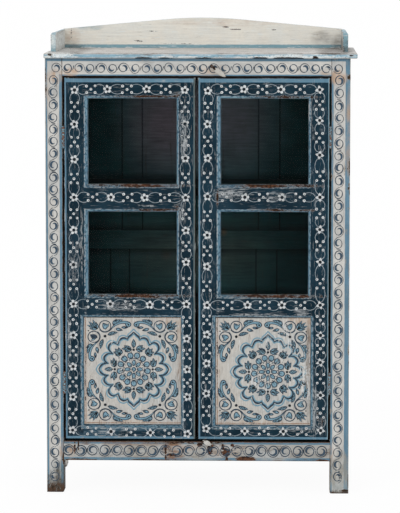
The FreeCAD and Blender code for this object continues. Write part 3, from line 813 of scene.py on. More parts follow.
def leaf(base: Point, tip: Point, width: float, bend: float = 0.0, steps: int = 7) -> list[Point]:
    """A leaf's outline.

    Args:
        base: Where it grows from.
        tip: Its point.
        width: Its width.
        bend: How far its middle is bent to the left of the line from base to tip.
        steps: How many points each side has.

    Returns:
        The outline's points.
    """
    start, end = Vector(base), Vector(tip)
    along = end - start
    across = Vector((-along.y, along.x)).normalized()
    outline = []
    for side, order in ((1, range(steps + 1)), (-1, range(steps - 1, 0, -1))):
        for step in order:
            t = step / steps
            swell = math.sin(math.pi * t ** 0.8) ** 0.85 if 0 < t < 1 else 0.0
            place = start + along * t + across * (side * width / 2 * swell + bend * math.sin(math.pi * t))
            outline.append((place.x, place.y))
    return outline


def oval(centre: Point, long: float, wide: float, sides: int) -> list[Point]:
    """An oval's outline, with its long half-axis along the first axis."""
    turns = [math.tau * i / sides for i in range(sides)]
    return [(centre[0] + long * math.cos(turn), centre[1] + wide * math.sin(turn)) for turn in turns]


def disc(centre: Point, radius: float, sides: int = 14) -> list[Point]:
    """A round outline."""
    return oval(centre, radius, radius, sides)


@dataclass
class Brush:
    """All the strokes of one paint on one flat front face of one body.

    Attributes:
        name: The piece's name.
        body: The CAD body that it rides on.
        slot: The name of a material slot. It is not used.
        material: The paint.
        face: Where the wood's face is in y.
        lift: How far the paint's back is in front of the face.
        depth: How thick the paint is.
        corners: The corners of all strokes so far.
        sides: The faces of all strokes so far.
    """

    name: str
    body: str
    slot: str
    material: Material
    face: float
    lift: float = 0.06
    depth: float = 0.12
    corners: list[tuple[float, float, float]] = field(default_factory=list)
    sides: list[tuple[int, ...]] = field(default_factory=list)

    def fill(self, outline: Sequence[Point]) -> None:
        """Fill an outline with paint.

        Args:
            outline: Its points, in order.
        """
        area = sum(a[0] * b[1] - b[0] * a[1] for a, b in zip(outline, [*outline[1:], outline[0]]))
        ring = list(outline) if area > 0 else list(reversed(outline))
        count = len(ring)
        start = len(self.corners)
        front = self.face - self.lift - self.depth
        back = self.face - self.lift
        self.corners += [(x, front, z) for x, z in ring] + [(x, back, z) for x, z in ring]
        self.sides.append(tuple(range(start, start + count)))
        self.sides.append(tuple(range(start + 2 * count - 1, start + count - 1, -1)))
        for i in range(count):
            after = (i + 1) % count
            self.sides.append((start + i, start + count + i, start + count + after, start + after))

    def stroke(self, path: Sequence[Point], width: float | Callable[[float], float]) -> None:
        """Draw a stroke.

        Args:
            path: The line that the brush follows.
            width: Its width, or its width as a function of the share of the line that is drawn.
        """
        count = len(path)
        start = len(self.corners)
        front = self.face - self.lift - self.depth
        back = self.face - self.lift
        for i, (x, z) in enumerate(path):
            before, after = path[max(i - 1, 0)], path[min(i + 1, count - 1)]
            across = Vector((before[1] - after[1], after[0] - before[0]))
            across = across.normalized() if across.length > 1e-9 else Vector((0.0, 1.0))
            half = (width(i / (count - 1)) if callable(width) else width) / 2
            left = (x + across.x * half, z + across.y * half)
            right = (x - across.x * half, z - across.y * half)
            self.corners += [(left[0], front, left[1]), (right[0], front, right[1]),
                             (right[0], back, right[1]), (left[0], back, left[1])]
        for i in range(count - 1):
            here, there = start + 4 * i, start + 4 * i + 4
            for side in range(4):
                after = (side + 1) % 4
                self.sides.append((here + side, here + after, there + after, there + side))
        self.sides.append(tuple(start + i for i in (3, 2, 1, 0)))
        self.sides.append(tuple(start + 4 * (count - 1) + i for i in range(4)))

    def build(self) -> bpy.types.Object | None:
        """Make the piece and let it ride on its body.

        Returns:
            The piece, or nothing if there are no strokes.
        """
        if not self.corners:
            return None
        mesh = bpy.data.meshes.new(self.name)
        mesh.from_pydata([(x * MM, y * MM, z * MM) for x, y, z in self.corners], [], self.sides)
        mesh.validate()
        mesh.materials.append(self.material)
        made = bpy.data.objects.new(self.name, mesh)
        bpy.context.scene.collection.objects.link(made)
        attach(made, self.body)
        LOG.info("%s: %d faces of raised paint", self.name, len(self.sides))
        return made


# Ornament


@dataclass
class Hand:
    """The painter's hand: small differences between strokes that are meant to be alike."""

    seed: int

    def __post_init__(self) -> None:
        """Start the run of differences."""
        self.dice = random.Random(self.seed)

    def off(self, size: float) -> float:
        """A small difference, up to a size either way."""
        return self.dice.uniform(-size, size)

    def near(self, place: Point, size: float) -> Point:
        """A place close to another."""
        return (place[0] + self.off(size), place[1] + self.off(size))


def turned(points: Sequence[Point], centre: Point, angle: float) -> list[Point]:
    """Points given about the origin, turned by an angle and moved to a centre."""
    cos, sin = math.cos(angle), math.sin(angle)
    return [(centre[0] + x * cos - z * sin, centre[1] + x * sin + z * cos) for x, z in points]


@dataclass
class ScrollRow:
    """A row of small scrolls, each turned half round from the one before it.

    Attributes:
        line: The brush of the thin lines.
        comma: The brush of the thick strokes at their inner ends.
        hand: The painter's hand.
        long: A scroll's radius along the row.
        wide: Its radius across the row.
        turns: How many turns it makes on its way in.
        thin: How wide its thin line is.
        pitch: How far a scroll is from the next, set when the row is drawn.
    """

    line: Brush
    comma: Brush
    hand: Hand
    long: float = 13.2
    wide: float = 13.8
    turns: float = 1.39
    thin: float = 1.45
    pitch: float = 30.0

    def draw(self, start: Point, end: Point, count: int) -> None:
        """Paint the row.

        Args:
            start: The first scroll's centre.
            end: The last scroll's centre.
            count: How many scrolls there are.
        """
        heading = math.atan2(end[1] - start[1], end[0] - start[0])
        self.pitch = math.dist(start, end) / (count - 1)
        for i in range(count):
            share = i / (count - 1)
            centre = (start[0] + (end[0] - start[0]) * share, start[1] + (end[1] - start[1]) * share)
            self.scroll(self.hand.near(centre, 0.9), heading + math.pi * (i % 2) + self.hand.off(0.14))
            if i % 2 and i < count - 1:
                tick = [(self.pitch / 2 + along, across + self.hand.off(1.0))
                        for along, across in ((-1.8, -6), (0.4, 0), (1.6, 6))]
                self.line.stroke(smooth(turned(tick, centre, heading), 3), lambda t: 1.4 + 1.2 * t)

    def scroll(self, centre: Point, turn: float) -> None:
        """Paint one scroll.

        Args:
            centre: Its centre.
            turn: The way that it is turned.
        """
        long, wide = self.long + self.hand.off(0.7), self.wide + self.hand.off(0.7)
        link = self.pitch / 2 - long
        turns, steps = self.turns + self.hand.off(0.06), 40
        heavy = self.hand.dice.random()
        coil = []
        for i in range(steps + 1):
            share = i / steps
            reach = 1.0 - 0.62 * share ** 1.6
            angle = math.tau * turns * share
            away = link * max(0.0, 1.0 - share * 9) ** 2
            coil.append(((long * reach + away) * math.cos(angle), (wide * reach + away) * math.sin(angle)))
        drawn = turned(coil, centre, turn)
        line_end, comma_start = 31, 24
        self.line.stroke(drawn[:line_end],
                         lambda t: self.thin + (0.3 + 1.3 * heavy) * math.sin(math.pi * t) ** 2)
        self.comma.stroke(drawn[comma_start:],
                          lambda t: 1.6 + (4.4 + heavy) * math.sin(math.pi * min(1.0, t * 1.04)) ** 1.3)


@dataclass(frozen=True)
class FlowerRow:
    """A straight row of flowers on a door member.

    Attributes:
        along: Where the flowers are along the row.
        across: Where the row's first and last flowers are across it.
        upright: Whether the row runs up and down. A level row leaves its end flowers to the upright ones.
        petals: How many petals each flower has.
    """

    along: tuple[float, ...]
    across: tuple[float, float]
    upright: bool = False
    petals: int = 5

    def places(self) -> list[Point]:
        """The flowers' centres, as x and z."""
        first, last = self.along[0], self.along[-1]
        found = []
        for place in self.along:
            share = (place - first) / (last - first)
            side = self.across[0] + (self.across[1] - self.across[0]) * share
            found.append((side, place) if self.upright else (place, side))
        return found


@dataclass
class FlowerChain:
    """Flowers joined by looped lines with groups of dots between them.

    Attributes:
        line: The brush of the thin lines.
        white: The brush of the petals and dots.
        black: The brush of the flowers' centres.
        hand: The painter's hand.
        petal_reach: How far a petal's middle is from the flower's centre.
        petal_radius: Half of a petal's width.
        eye_radius: The radius of a flower's dark centre.
        dot_radius: The radius of the dots between two flowers.
        pair_along: How far a pair of dots is from the middle dot, along the row.
        pair_across: How far each dot of a pair is from the row's middle.
        loop_across: How far a looped line swings out from the row's middle.
    """

    line: Brush
    white: Brush
    black: Brush
    hand: Hand
    petal_reach: float = 7.4
    petal_radius: float = 4.0
    eye_radius: float = 4.7
    dot_radius: float = 4.1
    pair_along: float = 12.0
    pair_across: float = 8.8
    loop_across: float = 13.5

    def draw(self, row: FlowerRow) -> None:
        """Paint one row.

        Args:
            row: The row.
        """
        places = row.places()
        for i, place in enumerate(places):
            if row.upright or 0 < i < len(places) - 1:
                self.flower(self.hand.near(place, 0.5), row.petals)
        for start, end in zip(places, places[1:]):
            self.link(start, end)

    def flower(self, centre: Point, petals: int) -> None:
        """Paint one flower.

        Args:
            centre: Its centre.
            petals: How many petals it has.
        """
        turn = math.pi / 2 + self.hand.off(0.3)
        for i in range(petals):
            angle = turn + math.tau * i / petals
            reach = self.petal_reach + self.hand.off(0.4)
            long, wide = self.petal_radius + 0.4, self.petal_radius + self.hand.off(0.4)
            if petals == 4:
                inner, outer = reach - 6.0, reach + long + 0.8
                pointed = [(inner, -3.6), (reach, -wide), (outer, 0.0), (reach, wide), (inner, 3.6)]
                self.white.fill(turned(pointed, centre, angle))
            else:
                self.white.fill(turned(oval((reach, 0.0), long, wide, 12), centre, angle))
        self.black.fill(disc(self.hand.near(centre, 0.4), self.eye_radius + self.hand.off(0.3), 12))

    def link(self, start: Point, end: Point) -> None:
        """Paint the lines and dots between two flowers.

        Args:
            start: One flower's centre.
            end: The other flower's centre.
        """
        length = math.dist(start, end)
        heading = math.atan2(end[1] - start[1], end[0] - start[0])
        middle = ((start[0] + end[0]) / 2, (start[1] + end[1]) / 2)
        squeeze = min(1.0, length / 92.0)
        along = self.pair_along * squeeze
        dots = [(0.0, 0.0)] + [(a * along, b * self.pair_across) for a in (-1, 1) for b in (-1, 1)]
        for place in turned(dots, middle, heading):
            at = self.hand.near(place, 0.7)
            self.white.fill(disc(at, self.dot_radius * (0.92 + self.hand.off(0.07)), 12))
            self.black.fill(disc(self.hand.near(place, 0.5), 1.35, 7))
        for base, way in ((start, heading), (end, heading + math.pi)):
            reach = length / 2 - along
            for side in (-1, 1):
                wide = self.loop_across + self.hand.off(0.8)
                loop = [(8.0, side * 3.0), (reach * 0.34, side * wide * 0.72), (reach * 0.62, side * wide),
                        (reach * 0.86, side * wide * 0.9), (reach - 1.0, side * (self.pair_across + 1.5))]
                self.line.stroke(turned(smooth(loop, 4), base, way), lambda t: 2.2 - 0.8 * t)


@dataclass
class PanelOrnament:
    """The medallion and the four corner sprays of a door's panel.

    Attributes:
        pale: The brush of the light lines.
        dark: The brush of outlines and shadows.
        blue: The brush that fills leaves and petals.
        black: The brush of the small dots and the veins.
        hand: The painter's hand.
        centre: The medallion's centre.
        low: The panel's lowest visible corner.
        high: The panel's highest visible corner.
    """

    pale: Brush
    dark: Brush
    blue: Brush
    black: Brush
    hand: Hand
    centre: Point
    low: Point
    high: Point

    def draw(self) -> None:
        """Paint the whole panel."""
        self.medallion()
        self.trefoils()
        self.rosette()
        self.flecks(130)
        for right in (False, True):
            for top in (False, True):
                self.spray(right, top)

    def shape(self, outline: Callable[[float], list[Point]], place: Callable[[Point], Point],
              rim: float) -> None:
        """Paint a shape in dark, and a smaller one over it in blue.

        Args:
            outline: Gives the shape's outline, drawn in from its edge by a distance.
            place: Moves a point to its place on the panel.
            rim: How wide the dark rim is.
        """
        self.dark.fill([place(point) for point in outline(0.0)])
        if self.hand.dice.random() < 0.98:
            self.blue.fill([place(point) for point in outline(rim)])

    def leaf(self, base: Point, tip: Point, width: float, place: Callable[[Point], Point], bend: float = 0.0,
             rim: float = 2.7) -> None:
        """Paint a leaf with a dark rim and dark veins.

        Args:
            base: Where it grows from.
            tip: Its point.
            width: Its width.
            place: Moves a point to its place on the panel.
            bend: How far it bends to the left.
            rim: How wide the rim is.
        """
        base, tip = self.hand.near(base, 0.4), self.hand.near(tip, 0.6)
        length = math.dist(base, tip)
        share = min(0.3, rim / length)

        def drawn_in(depth: float) -> list[Point]:
            """The leaf's outline, drawn in by a depth."""
            cut = share if depth else 0.0
            start = (base[0] + (tip[0] - base[0]) * cut, base[1] + (tip[1] - base[1]) * cut)
            end = (tip[0] - (tip[0] - base[0]) * cut * 1.3, tip[1] - (tip[1] - base[1]) * cut * 1.3)
            return leaf(start, end, max(1.6, width - 2 * depth), bend)

        self.shape(drawn_in, place, rim)
        if width > 7:
            along = Vector(tip) - Vector(base)
            across = Vector((-along.y, along.x)).normalized()
            veins = ((0.5, 0.88, 0.0), (0.55, 0.7, 0.25))
            if length > 24:
                veins = ((0.0, 0.78, 0.0), (0.2, 0.4, 0.3), (0.32, 0.55, -0.3), (0.45, 0.68, 0.26),
                         (0.6, 0.8, -0.2))
            for start, end, side in veins:
                first = Vector(base) + along * start + across * (bend * math.sin(math.pi * start))
                last = Vector(base) + along * end + across * (bend * math.sin(math.pi * end) + side * width)
                self.black.stroke([place(tuple(first)), place(tuple(last))], lambda t: 1.5 - 0.8 * t)

    def petal(self, centre: Point, long: float, wide: float, angle: float, rim: float = 1.9) -> None:
        """Paint a rounded petal with a dark rim.

        Args:
            centre: Its middle, from the medallion's centre.
            long: Its length.
            wide: Its width.
            angle: The way that it points.
            rim: How wide the rim is.
        """
        turn = angle + self.hand.off(0.08)

        def drawn_in(depth: float) -> list[Point]:
            """The petal's outline, drawn in by a depth."""
            return turned(oval((0.0, 0.0), long / 2 - depth, wide / 2 - depth, 14), centre, turn)

        self.shape(drawn_in, self.at_centre, rim)
        vein = turned([(0.42 * long * side, self.hand.off(0.6)) for side in (-1, 0.1)], centre, turn)
        self.black.stroke([self.at_centre(point) for point in vein], lambda t: 1.7 - 0.9 * t)

    def at_centre(self, point: Point) -> Point:
        """A place given from the medallion's centre."""
        return (self.centre[0] + point[0], self.centre[1] + point[1])

    def outline(self, wide: float, tall: float) -> list[list[Point]]:
        """The medallion's lobes at a size.

        Args:
            wide: A factor on its width.
            tall: A factor on its height.

        Returns:
            The lobes of all four quarters, each as a smooth line.
        """
        quarter = (
            ((0, 105), (7, 97), (14, 91), (17, 84)),
            ((17, 84), (26, 88), (37, 84), (44, 69)),
            ((44, 69), (57, 75), (68, 68), (69, 56), (59, 44)),
            ((59, 44), (73, 43), (82, 34), (81, 25), (73, 17)),
            ((73, 17), (84, 15), (92, 9), (97, 0)),
        )
        lobes = []
        for across in (-1, 1):
            for up in (-1, 1):
                for lobe in quarter:
                    curve = smooth(lobe, 5)
                    lobes.append([self.at_centre((x * wide * across, z * tall * up)) for x, z in curve])
        return lobes

    def medallion(self) -> None:
        """Paint the lobed outline: a thin light line, a dark one inside it and a soft light band in that."""
        for lobe in self.outline(1.08, 1.08):
            self.pale.stroke(lobe, 3.6)
        for lobe in self.outline(0.955, 0.955):
            self.pale.stroke(lobe, 4.2)
        for lobe in self.outline(1.0, 1.0):
            self.dark.stroke(lobe, lambda t: 2.4 + 3.0 * math.sin(math.pi * t))

    def trefoils(self) -> None:
        """Paint the three-leaved sprigs at the ends of the axes and the broad leaves between them."""
        for i in range(4):
            turn = math.pi / 2 * i
            out = 1.0 if i % 2 else 0.96

            def place(point: Point, turn: float = turn, out: float = out) -> Point:
                """Turn a place given for the right-hand sprig."""
                return self.at_centre(turned([(point[0] * out, point[1])], (0.0, 0.0), turn)[0])

            self.leaf((60, 0), (86, 0), 13, place)
            for side in (-1, 1):
                for tip, wide in (((67, side * 27), 11), ((58, side * 33), 12), ((49, side * 26), 10)):
                    self.leaf((56, side * 6), tip, wide, place)
            self.black.fill([place(point) for point in disc((55, 0), 3.4)])
            self.black.fill([place(point) for point in disc((62, 0), 2.0)])
        for across in (-1, 1):
            for up in (-1, 1):
                middle = (42 * across, 47 * up)
                angle = math.atan2(middle[1], middle[0])
                fan = ((0.0, 26, 12), (0.7, 24, 11), (-0.7, 24, 11), (1.4, 20, 10), (-1.4, 20, 10))
                for spread, long, wide in fan:
                    way = angle + spread
                    tip = (middle[0] + long * 0.62 * math.cos(way), middle[1] + long * 0.62 * math.sin(way))
                    base = (middle[0] - long * 0.4 * math.cos(angle),
                            middle[1] - long * 0.4 * math.sin(angle))
                    self.leaf(base, tip, wide, self.at_centre)
                dot = disc((middle[0] * 0.68, middle[1] * 0.7), 1.7, 8)
                self.black.fill([self.at_centre(point) for point in dot])

    def rosette(self) -> None:
        """Paint the ring of round petals and the flower inside it."""
        count = 13
        for i in range(count):
            angle = math.tau * (i + 0.5) / count + math.pi / 2
            self.petal((38.5 * math.cos(angle), 39.5 * math.sin(angle)), 18.5, 17.5, angle, 2.8)
        turns = [math.tau * i / 40 for i in range(41)]
        ring = [self.at_centre((29.6 * math.cos(turn), 30.5 * math.sin(turn))) for turn in turns]
        self.dark.stroke(ring, 1.5)
        for i in range(8):
            angle = math.tau * i / 8 + math.pi / 2
            self.petal((17.0 * math.cos(angle), 18.0 * math.sin(angle)), 17.5, 11.5, angle, 2.4)
        self.petal((0.0, 0.0), 13.0, 13.0, 0.0, 3.0)
        for i in range(20):
            angle = math.tau * (i + 0.5) / 20
            place = self.at_centre((25.9 * math.cos(angle), 26.8 * math.sin(angle)))
            self.black.fill(disc(self.hand.near(place, 0.6), 1.4, 7))

    def flecks(self, count: int) -> None:
        """Paint the short dark breaks in the old paint round the medallion's middle.

        Args:
            count: How many there are.
        """
        for _ in range(count):
            angle = self.hand.dice.uniform(0.0, math.tau)
            reach = 62.0 * self.hand.dice.random() ** 0.7
            start = self.at_centre((reach * math.cos(angle), reach * 1.1 * math.sin(angle)))
            end = (start[0] + self.hand.off(0.8), start[1] - 1.5 - 4.5 * self.hand.dice.random())
            self.dark.stroke([start, end], 0.8 + 0.7 * self.hand.dice.random())

    def spray(self, right: bool, top: bool) -> None:
        """Paint one corner's spray, alike on both sides of the corner's diagonal.

        Args:
            right: Whether it is on the right.
            top: Whether it is at the top.
        """
        corner = (self.high[0] if right else self.low[0], self.high[1] if top else self.low[1])
        across, up = (-1 if right else 1), (-1 if top else 1)
        drawn_for = (257.0, 300.6)
        stretch_x = (self.high[0] - self.low[0]) / drawn_for[0]
        stretch_z = (self.high[1] - self.low[1]) / drawn_for[1]

        def plain(point: Point) -> Point:
            """A place given along and away from the corner's level side."""
            return (corner[0] + across * point[0] * stretch_x, corner[1] + up * point[1] * stretch_z)

        def swapped(point: Point) -> Point:
            """The same place given along the corner's upright side."""
            return (corner[0] + across * point[1] * stretch_x, corner[1] + up * point[0] * stretch_z)

        for tip, width in (((12, 13), 9), ((8, 23), 9), ((23, 8), 9), ((14, 33), 8), ((33, 14), 8)):
            self.leaf((36, 34), tip, width, plain, rim=2.0)
        for place in (plain, swapped):
            self.half_spray(place)
        self.black.fill([plain(point) for point in disc((56, 54), 3.9)])
        self.black.fill([plain(point) for point in disc((12, 39), 1.9, 8)])

    def half_spray(self, place: Callable[[Point], Point]) -> None:
        """Paint the loop, stem and leaves on one side of a corner's diagonal.

        Args:
            place: Moves a point from the spray's own places to the panel.
        """
        near = self.hand.near
        loop = [near((56 + 15.5 * math.cos(a), 26 + 15.5 * math.sin(a)), 0.25)
                for a in (math.tau * (i / 24 + 0.16) for i in range(25))]
        self.dark.stroke([place(point) for point in smooth(loop[::2], 3)],
                         lambda t: 1.5 + 1.3 * math.sin(math.pi * t))
        self.leaf((58, 36), (50, 16), 15, place, bend=2.0)
        self.leaf((61, 30), (66, 18), 6, place, rim=1.6)
        stem = smooth([(41, 36), (49, 42), (58, 43), (68, 38), (78, 27), (90, 19), (104, 15), (117, 16.5)], 5)
        self.dark.stroke([place(point) for point in stem],
                         lambda t: 1.9 + 8.0 * max(0.0, (t - 0.25) / 0.75) ** 1.2)
        fill = stem[int(len(stem) * 0.5):]
        self.blue.stroke([place(point) for point in fill], lambda t: 0.8 + 5.0 * t)
        knob = (117.5, 21.0)
        self.dark.fill([place(point) for point in disc(knob, 8.2)])
        self.blue.fill([place(point) for point in disc(knob, 5.6)])
        self.black.fill([place(point) for point in disc((knob[0] + 0.5, knob[1] + 1.0), 2.6, 9)])
        self.leaf((77, 24), (104, 7.5), 12, place, bend=-3.0)
        self.leaf((76, 22), (88, 6), 8, place, bend=-1.0)
        self.leaf((84, 33), (103, 38), 9.5, place)
        self.leaf((99, 29), (117, 30.5), 7.5, place)
        self.leaf((62, 51), (90, 43), 11, place, bend=-1.5)


# Sub-assemblies


@dataclass
class Timber:
    """The wooden nodes of the frame, and how they are dressed.

    Attributes:
        nodes: The nodes by name.
        arris: How far sharp edges are usually softened.
    """

    nodes: dict[str, bpy.types.Object]
    arris: float = 0.7

    def box(self, node: str) -> tuple[Vector, Vector]:
        """A node's box in mm."""
        low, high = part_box(node)
        return Vector(low) / MM, Vector(high) / MM

    def dress(self, node: str, material: Material, soften: float | None = None) -> None:
        """Give a node its material, and soften its sharp edges.

        Args:
            node: The node's name.
            material: The material.
            soften: How far the edges are softened, or nothing for the usual arris.
        """
        piece = self.nodes[node]
        piece.data.materials.clear()
        piece.data.materials.append(material)
        width = self.arris if soften is None else soften
        if width > 0:
            rounding = piece.modifiers.new("arris", "BEVEL")
            rounding.width = width * MM
            rounding.segments = 2
            rounding.limit_method = "ANGLE"
            rounding.angle_limit = math.radians(50)
            rounding.harden_normals = True
        LOG.info("%s is dressed", node)

    def paint(self, node: str, finish: WoodPaint, grain: Axis, soften: float | None = None) -> None:
        """Paint a node.

        Args:
            node: The node's name.
            finish: Its paint.
            grain: The way that its grain runs.
            soften: How far its edges are softened.
        """
        low, high = self.box(node)
        self.dress(node, finish.make(f"{node}_paint", grain, low, high), soften)


@dataclass
class Carcass:
    """Posts, rails, boards and shelves.

    Attributes:
        timber: The wooden nodes.
        left: The x of the left post's outer face.
        upper_seams: How far right of it the back's joints are, above the mid rail.
        lower_seams: The same below the mid rail.
        door_gap: How far the header rail is above the doors.
        band_top: The width of the line under the top board. The next seven are widths too.
        band_bottom: The header rail's lower line.
        left_outer: The left post's outer line.
        left_inner: Its inner line.
        right_inner: The right post's inner line.
        right_outer: Its outer line.
        bottom_upper: The bottom rail's upper line.
        bottom_lower: Its lower line.
    """

    timber: Timber
    left: float = -428.0
    upper_seams: tuple[float, ...] = (190.0, 245.0, 585.5, 643.5)
    lower_seams: tuple[float, ...] = (155.5, 206.5, 578.5, 635.5)
    door_gap: float = 4.5
    band_top: float = 8.0
    band_bottom: float = 4.5
    left_outer: float = 6.4
    left_inner: float = 9.0
    right_inner: float = 6.4
    right_outer: float = 13.5
    bottom_upper: float = 7.2
    bottom_lower: float = 8.6

    def build(self) -> None:
        """Dress every piece of the carcass and paint the scrolls on its front."""
        self.front_posts()
        self.front_rails()
        self.frames()
        self.back()
        self.inner()
        self.scrolls()

    def front_posts(self) -> None:
        """Paint the two front posts."""
        head_high = self.timber.box("header_rail")[1]
        floor = self.timber.box("bottom_rail")[1].z
        behind, under_feet = 22, -100.0
        under_top = edge_band("z", head_high.z, -self.band_top, Hue.LIGHT_BLUE)
        beside_doors = (under_feet, head_high.z - self.band_top - 36.0)
        beside_rails = (under_feet, head_high.z)

        low, high = self.timber.box("post_front_left")
        self.timber.paint("post_front_left", WoodPaint(
            rub=0.35, chip=0.3, grime=0.6, foot=46.0,
            # The dark line along the inner edge is painted shadow of the gap beside the door.
            bands=(under_top, edge_band("x", low.x, self.left_outer, Hue.LIGHT_BLUE),
                   edge_band("x", high.x, -self.left_inner, Hue.LIGHT_BLUE, beside_doors),
                   edge_band("x", high.x, -1.6, Hue.DARK_WOOD_AND_SHADE, beside_rails)),
            stained=(Patch((-398, 1160), (26, 24), 0.8), Patch((low.x + 4, 1120), (14, 60), 0.5),
                     Patch((-386, 118), (8, 44), 0.5), Patch((-400, 50), (30, 46), 0.7, Hue.GREY_GREEN),
                     Patch((-402, 52), (14, 30), 0.9, Hue.FOOT_DARK)),
            chipped=(Patch((low.x + 2, 1150), (9, 60), 0.8), Patch((low.x + 22, 14), (30, 18), 1.1),
                     Patch((high.x - 1, 96), (6, 26), 1.6), Patch((high.x, 700), (3, 420), 1.2)),
            inside_ways=(Way.RIGHT, Way.BACK), inside_from=low.y + behind, inside_above=floor,
            shaded_edge_ways=(Way.RIGHT,),
        ), Axis.Z)

        low, high = self.timber.box("post_front_right")
        self.timber.paint("post_front_right", WoodPaint(
            rub=0.45, chip=0.35, grime=0.6, foot=9.0,
            # The dark line along the inner edge is painted shadow of the gap beside the door.
            bands=(under_top, edge_band("x", high.x, -self.right_outer, Hue.LIGHT_BLUE),
                   edge_band("x", low.x, self.right_inner, Hue.LIGHT_BLUE, beside_doors),
                   edge_band("x", low.x, 1.4, Hue.DARK_WOOD_AND_SHADE, beside_rails)),
            stained=(Patch((380, 1158), (28, 26), 1.1), Patch((high.x - 4, 1000), (10, 140), 0.7),
                     Patch((low.x + 6, 112), (12, 40), 0.7),
                     Patch((low.x + 24, 26), (28, 24), 0.8, Hue.PALE_BLUE),
                     Patch((low.x + 22, 60), (40, 70), 1.0, Hue.CREAM_BARE),
                     Patch((low.x + 22, 70), (30, 40), 0.4, Hue.GREY_GREEN)),
            rubbed=(Patch((low.x + 30, 40), (26, 40), 0.6),),
            chipped=(Patch((high.x - 3, 1158), (8, 13), 1.6), Patch((high.x - 3, 900), (7, 90), 0.7),
                     Patch((low.x + 40, 8), (18, 5), 1.3), Patch((low.x, 70), (3.5, 70), 1.2),
                     Patch((high.x, 36), (3, 30), 1.4)),
            inside_ways=(Way.LEFT, Way.BACK), inside_from=low.y + behind, inside_above=floor,
            shaded_edge_ways=(Way.LEFT,),
        ), Axis.Z)

    def front_rails(self) -> None:
        """Paint the header rail and the bottom rail."""
        low, high = self.timber.box("header_rail")
        start, lower_edge = low.z - 2, self.timber.box("left_door_top_rail")[1].z + self.door_gap
        self.timber.paint("header_rail", WoodPaint(
            grime=0.35,
            # The dark line along the lower edge is painted shadow of the gap over the doors.
            bands=(edge_band("z", high.z, -self.band_top, Hue.LIGHT_BLUE),
                   Band("z", start, lower_edge + self.band_bottom, Hue.LIGHT_BLUE),
                   Band("z", start, lower_edge + 1.0, Hue.DARK_WOOD_AND_SHADE)),
            stained=(Patch((-358, 1171), (26, 14)), Patch((345, 1172), (20, 12), 0.5),
                     Patch((30, 1176), (60, 20), 0.4)),
            chipped=(Patch((-374, 1190), (7, 14), 0.7), Patch((200, 1205), (60, 4), 0.7)),
            inside_ways=(Way.BACK, Way.DOWN), inside_from=low.y + 12,
            shaded_edge_ways=(Way.DOWN, Way.UP),
        ), Axis.X)

        low, high = self.timber.box("bottom_rail")
        self.timber.paint("bottom_rail", WoodPaint(
            ground=Hue.CREAM_GREY, aged=Hue.CREAM_BARE, chip=0.5, grime=1.1, crack=1.6,
            bands=(edge_band("z", high.z, -self.bottom_upper, Hue.LIGHT_BLUE),
                   edge_band("z", high.z, -1.5, Hue.RUST),
                   edge_band("z", low.z, self.bottom_lower, Hue.LIGHT_BLUE)),
            stained=(Patch((-74, 118), (38, 30), 1.5, Hue.RIM_BROWN), Patch((-40, 128), (44, 16), 0.5),
                     Patch((200, 98), (70, 10), 0.9, Hue.CREAM_GREY),
                     Patch((0, 97), (70, 10), 0.8, Hue.CREAM_GREY), Patch((-360, 118), (14, 26), 0.6),
                     Patch((60, 120), (60, 26), 0.3), Patch((-200, 138), (190, 8), 0.6, Hue.RIM_BROWN)),
            rubbed=(Patch((-10, 106), (40, 14)), Patch((110, 112), (60, 12), 0.8)),
            chipped=(Patch((-97, 119), (4.5, 34), 1.9), Patch((-78, 107), (28, 6), 2.0),
                     Patch((71, 114), (17, 16), 1.7), Patch((63, 128), (6, 14), 1.5),
                     Patch((73, 100), (5, 15), 1.7), Patch((89, 134), (7, 7), 1.8),
                     Patch((128, 97), (38, 8), 1.9), Patch((-2, 135), (10, 8), 1.8),
                     Patch((26, 121), (9, 18), 2.1), Patch((341, 93), (24, 4), 1.6),
                     Patch((-330, 92), (60, 4), 1.2), Patch((-350, 126), (4, 24), 1.7),
                     Patch((-340, 132), (3.5, 16), 1.7), Patch((-60, 140), (160, 4), 0.9),
                     Patch((-140, 92), (90, 3), 1.1)),
            inside_ways=(Way.BACK,), inside_from=low.y + 5, inside_above=high.z - 0.5,
            shaded_edge_ways=(Way.UP,),
        ), Axis.X)

    def frames(self) -> None:
        """Dress the back posts and the frames and boards of the sides."""
        floor = self.timber.box("bottom_rail")[1].z
        for side, inward in (("left", Way.RIGHT), ("right", Way.LEFT)):
            self.timber.paint(f"post_back_{side}", WoodPaint(
                aged=Hue.TOP_CREAM, rub=0.5, grime=0.1, foot=6.0,
                inside_ways=(inward, Way.FRONT), inside_above=floor,
            ), Axis.Z)
            for height, ways, above in (
                ("top", (inward, Way.DOWN), -FAR),
                ("mid", (inward,), -FAR),
                ("bottom", (inward, Way.UP), floor - 1),
            ):
                self.timber.paint(f"side_{height}_rail_{side}", WoodPaint(
                    ground=Hue.CREAM_GREY, aged=Hue.CREAM, rub=0.45, chip=0.35, grime=0.45,
                    inside_ways=ways, inside_above=above,
                ), Axis.Y)
            self.timber.paint(f"side_boards_{side}", WoodPaint(
                rub=0.5, chip=0.3, edge_chip=0.3, grime=0.4, inside_ways=(inward,),
            ), Axis.Z, 0.0)

    def back(self) -> None:
        """Dress the frame and the boards of the back, which show through the glass."""
        rail_low, rail_high = self.timber.box("back_mid_rail")
        rails = (rail_low.z, rail_high.z)
        shelves = ("floor_boards", "shelf_lower", "shelf_upper")
        shaded_ledges = tuple(self.timber.box(shelf)[1].z for shelf in shelves)
        shaded_ledges += (self.timber.box("header_rail")[0].z,)
        joints = tuple((self.left + offset, rails[1], FAR) for offset in self.upper_seams)
        joints += tuple((self.left + offset, -FAR, rails[0]) for offset in self.lower_seams)
